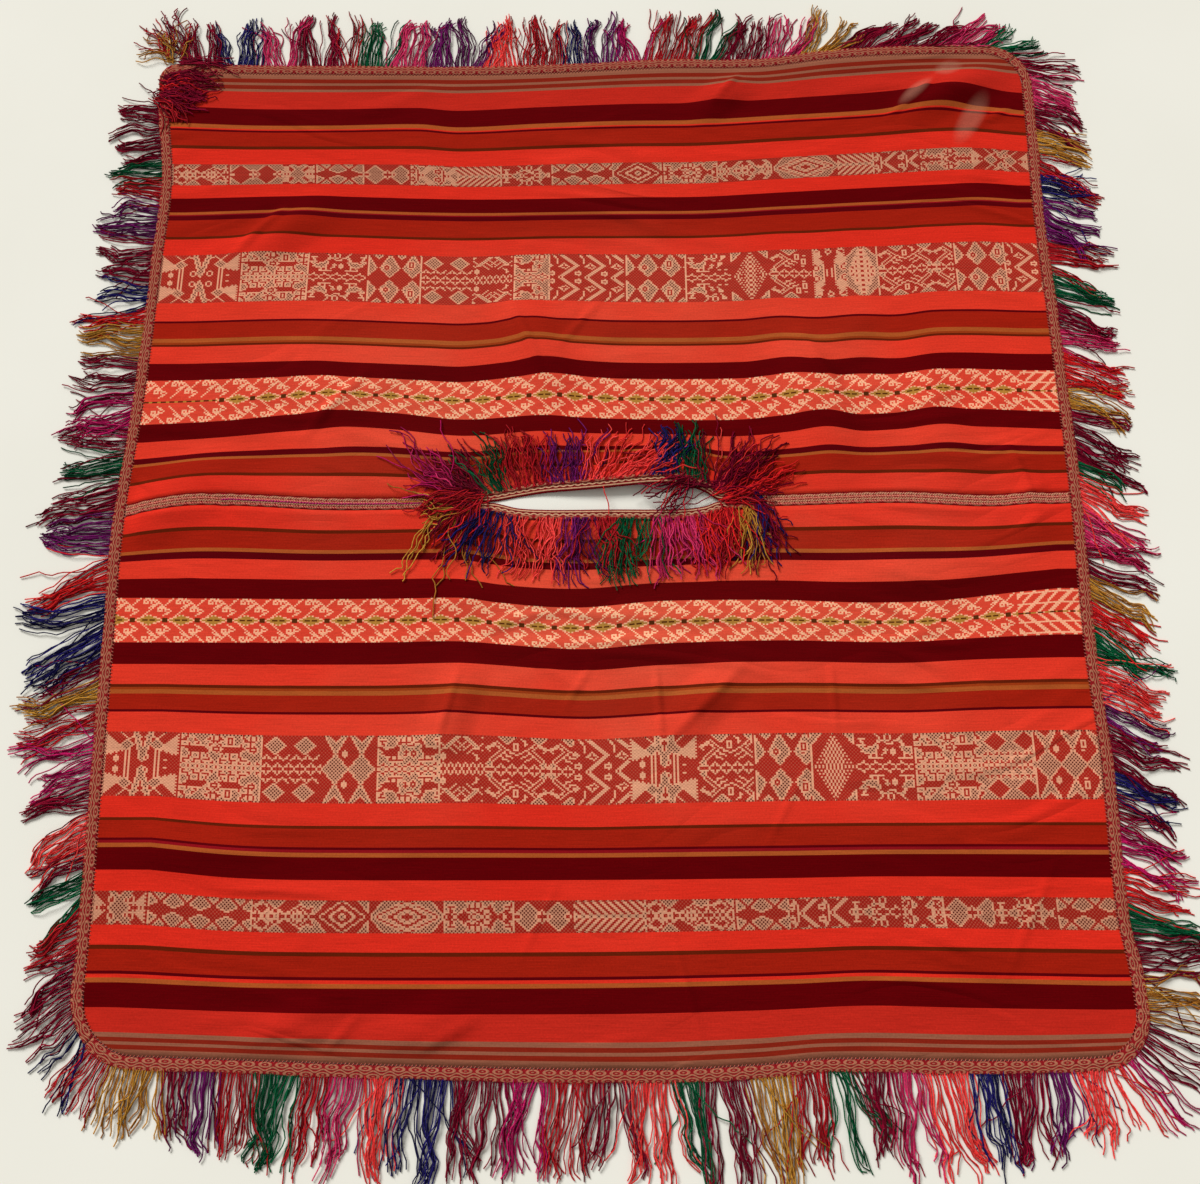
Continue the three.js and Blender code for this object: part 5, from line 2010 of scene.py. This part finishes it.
def bunch_roots(rows, chance):
    """The values of all yarns of a table of bunches."""
    parts = []
    for number, row in enumerate(rows):
        bunch = dict(zip(BUNCH_COLUMNS, row))
        count = bunch["yarns"]
        x = bunch["x"] + chance.normal(0, bunch["spread"] / 2, count)
        y = bunch["y"] + chance.normal(0, bunch["spread"] / 2, count)
        turn = np.radians(bunch["turn"] + chance.normal(0, bunch["fan"], count))
        rooted = lift(x, y) + BAND_THICK + chance.uniform(0.8, 2.6, count)
        wools = np.array(yarn_shades[bunch["wool"]])[chance.integers(0, 2, count)]
        parts.append({
            "place": np.column_stack([x, y, rooted]), "heading": turn,
            "reach": bunch["reach"] * chance.uniform(*BUNCH_REACH, count) * MM,
            "strand": chance.uniform(0, 1, count), "lock": np.full(count, number * LOCK_APART),
            "pile": chance.uniform(*BUNCH_PILE, count) * MM, "rooted": rooted * MM,
            "gather": np.zeros((count, 3)),
            "wool": wools * chance.uniform(*BUNCH_TONES, (count, 1)),
        })
    return {label: np.concatenate([part[label] for part in parts]) for label in parts[0]}


# %% A surface for the bunches to lie on
upper_lip, lower_lip = neck_edges(1)[0], neck_edges(-1)[0]
across_slit = np.concatenate([upper_lip, lower_lip])
across_slit = np.column_stack([across_slit, lift(*across_slit.T) + BAND_THICK / 2])
count = len(upper_lip)
slit_faces = [[i, i + 1, count + i + 1, count + i] for i in range(count - 1)]
bridge = piece_from("slit_bridge", in_metres(across_slit), slit_faces, cloth_finish)
joined = bmesh.new()
for piece in (cloth_upper, cloth_lower, bridge, *neck_borders.values(), *seam_strips.values()):
    joined.from_mesh(piece.data)
joined.to_mesh(bridge.data)
joined.free()

# %% Grow the bunches
loose_yarns = {}
for number, (name, rows) in enumerate((("neck", neck_bunches), ("corner", corner_bunches))):
    columns = bunch_roots(rows, np.random.default_rng(FIRST_SEED["loose"] + number))
    loose_yarns[name] = grow_yarns(f"loose_yarns_{name}", columns, bridge, "loose", number)
    print(name, "loose yarn faces:", len(loose_yarns[name].data.polygons))
bpy.data.objects.remove(bridge)

# %% [markdown]
# ## Light
# The room is bright and soft, with a window high on the left. A near lamp would fall off across the
# cloth. A wide, far one lights all of it evenly and gives the folds their shade, and a pale world
# fills the shadows.

# %% World and lamps
SKY_SHADE, SKY_STRENGTH = (1.0, 0.985, 0.955, 1), 0.38
WINDOW_POWER, WINDOW_SPREAD = 3.2, 28
WINDOW_TURN = (-40, -36, 0)

world = bpy.data.worlds.new("room") if scene.world is None else scene.world
scene.world = world
world.use_nodes = True
sky = world.node_tree.nodes["Background"]
sky.inputs["Color"].default_value = SKY_SHADE
sky.inputs["Strength"].default_value = SKY_STRENGTH

window = bpy.data.lights.new("window", "SUN")
window.energy = WINDOW_POWER
window.angle = math.radians(WINDOW_SPREAD)
window_light = bpy.data.objects.new("window", window)
window_light.rotation_euler = [math.radians(turn) for turn in WINDOW_TURN]
scene.collection.objects.link(window_light)

# %% [markdown]
# ## Handing the pieces to the frame
# Each piece rides on the one body and names the solids that it stands for, which are then hidden.

def join_frame(piece, slot, *nodes):
    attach(piece, "root")
    if nodes:
        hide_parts(*nodes)


join_frame(cloth_upper, "cloth", "panel_upper")
join_frame(cloth_lower, "cloth", "panel_lower")
for name in ("upper", "lower"):
    join_frame(neck_borders[name], "band", f"neck_border_{name}")
    join_frame(neck_fringe[name], "fringe", f"neck_fringe_{name}")
    join_frame(neck_headings[name], "band")
for name in side_paths:
    join_frame(edge_bands[name], "band", f"edge_band_{name}")
    join_frame(outer_fringe[name], "fringe", f"edge_band_{name}")
    join_frame(edge_work[name], "seam")
for name in ("left", "right"):
    join_frame(seam_strips[name], "seam", f"seam_{name}")
    for piece in seam_work[name]:
        join_frame(piece, "seam")
join_frame(loose_yarns["neck"], "fringe", "neck_fringe_upper", "neck_fringe_lower")
join_frame(loose_yarns["corner"], "fringe", "corner_fringe")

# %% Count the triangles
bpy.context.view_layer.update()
triangles_made = sum(
    sum(len(face.vertices) - 2 for face in piece.data.polygons)
    for piece in scene.objects if piece.type == "MESH" and piece.name not in frame["nodes"])
print("triangles in the scene's pieces:", triangles_made)
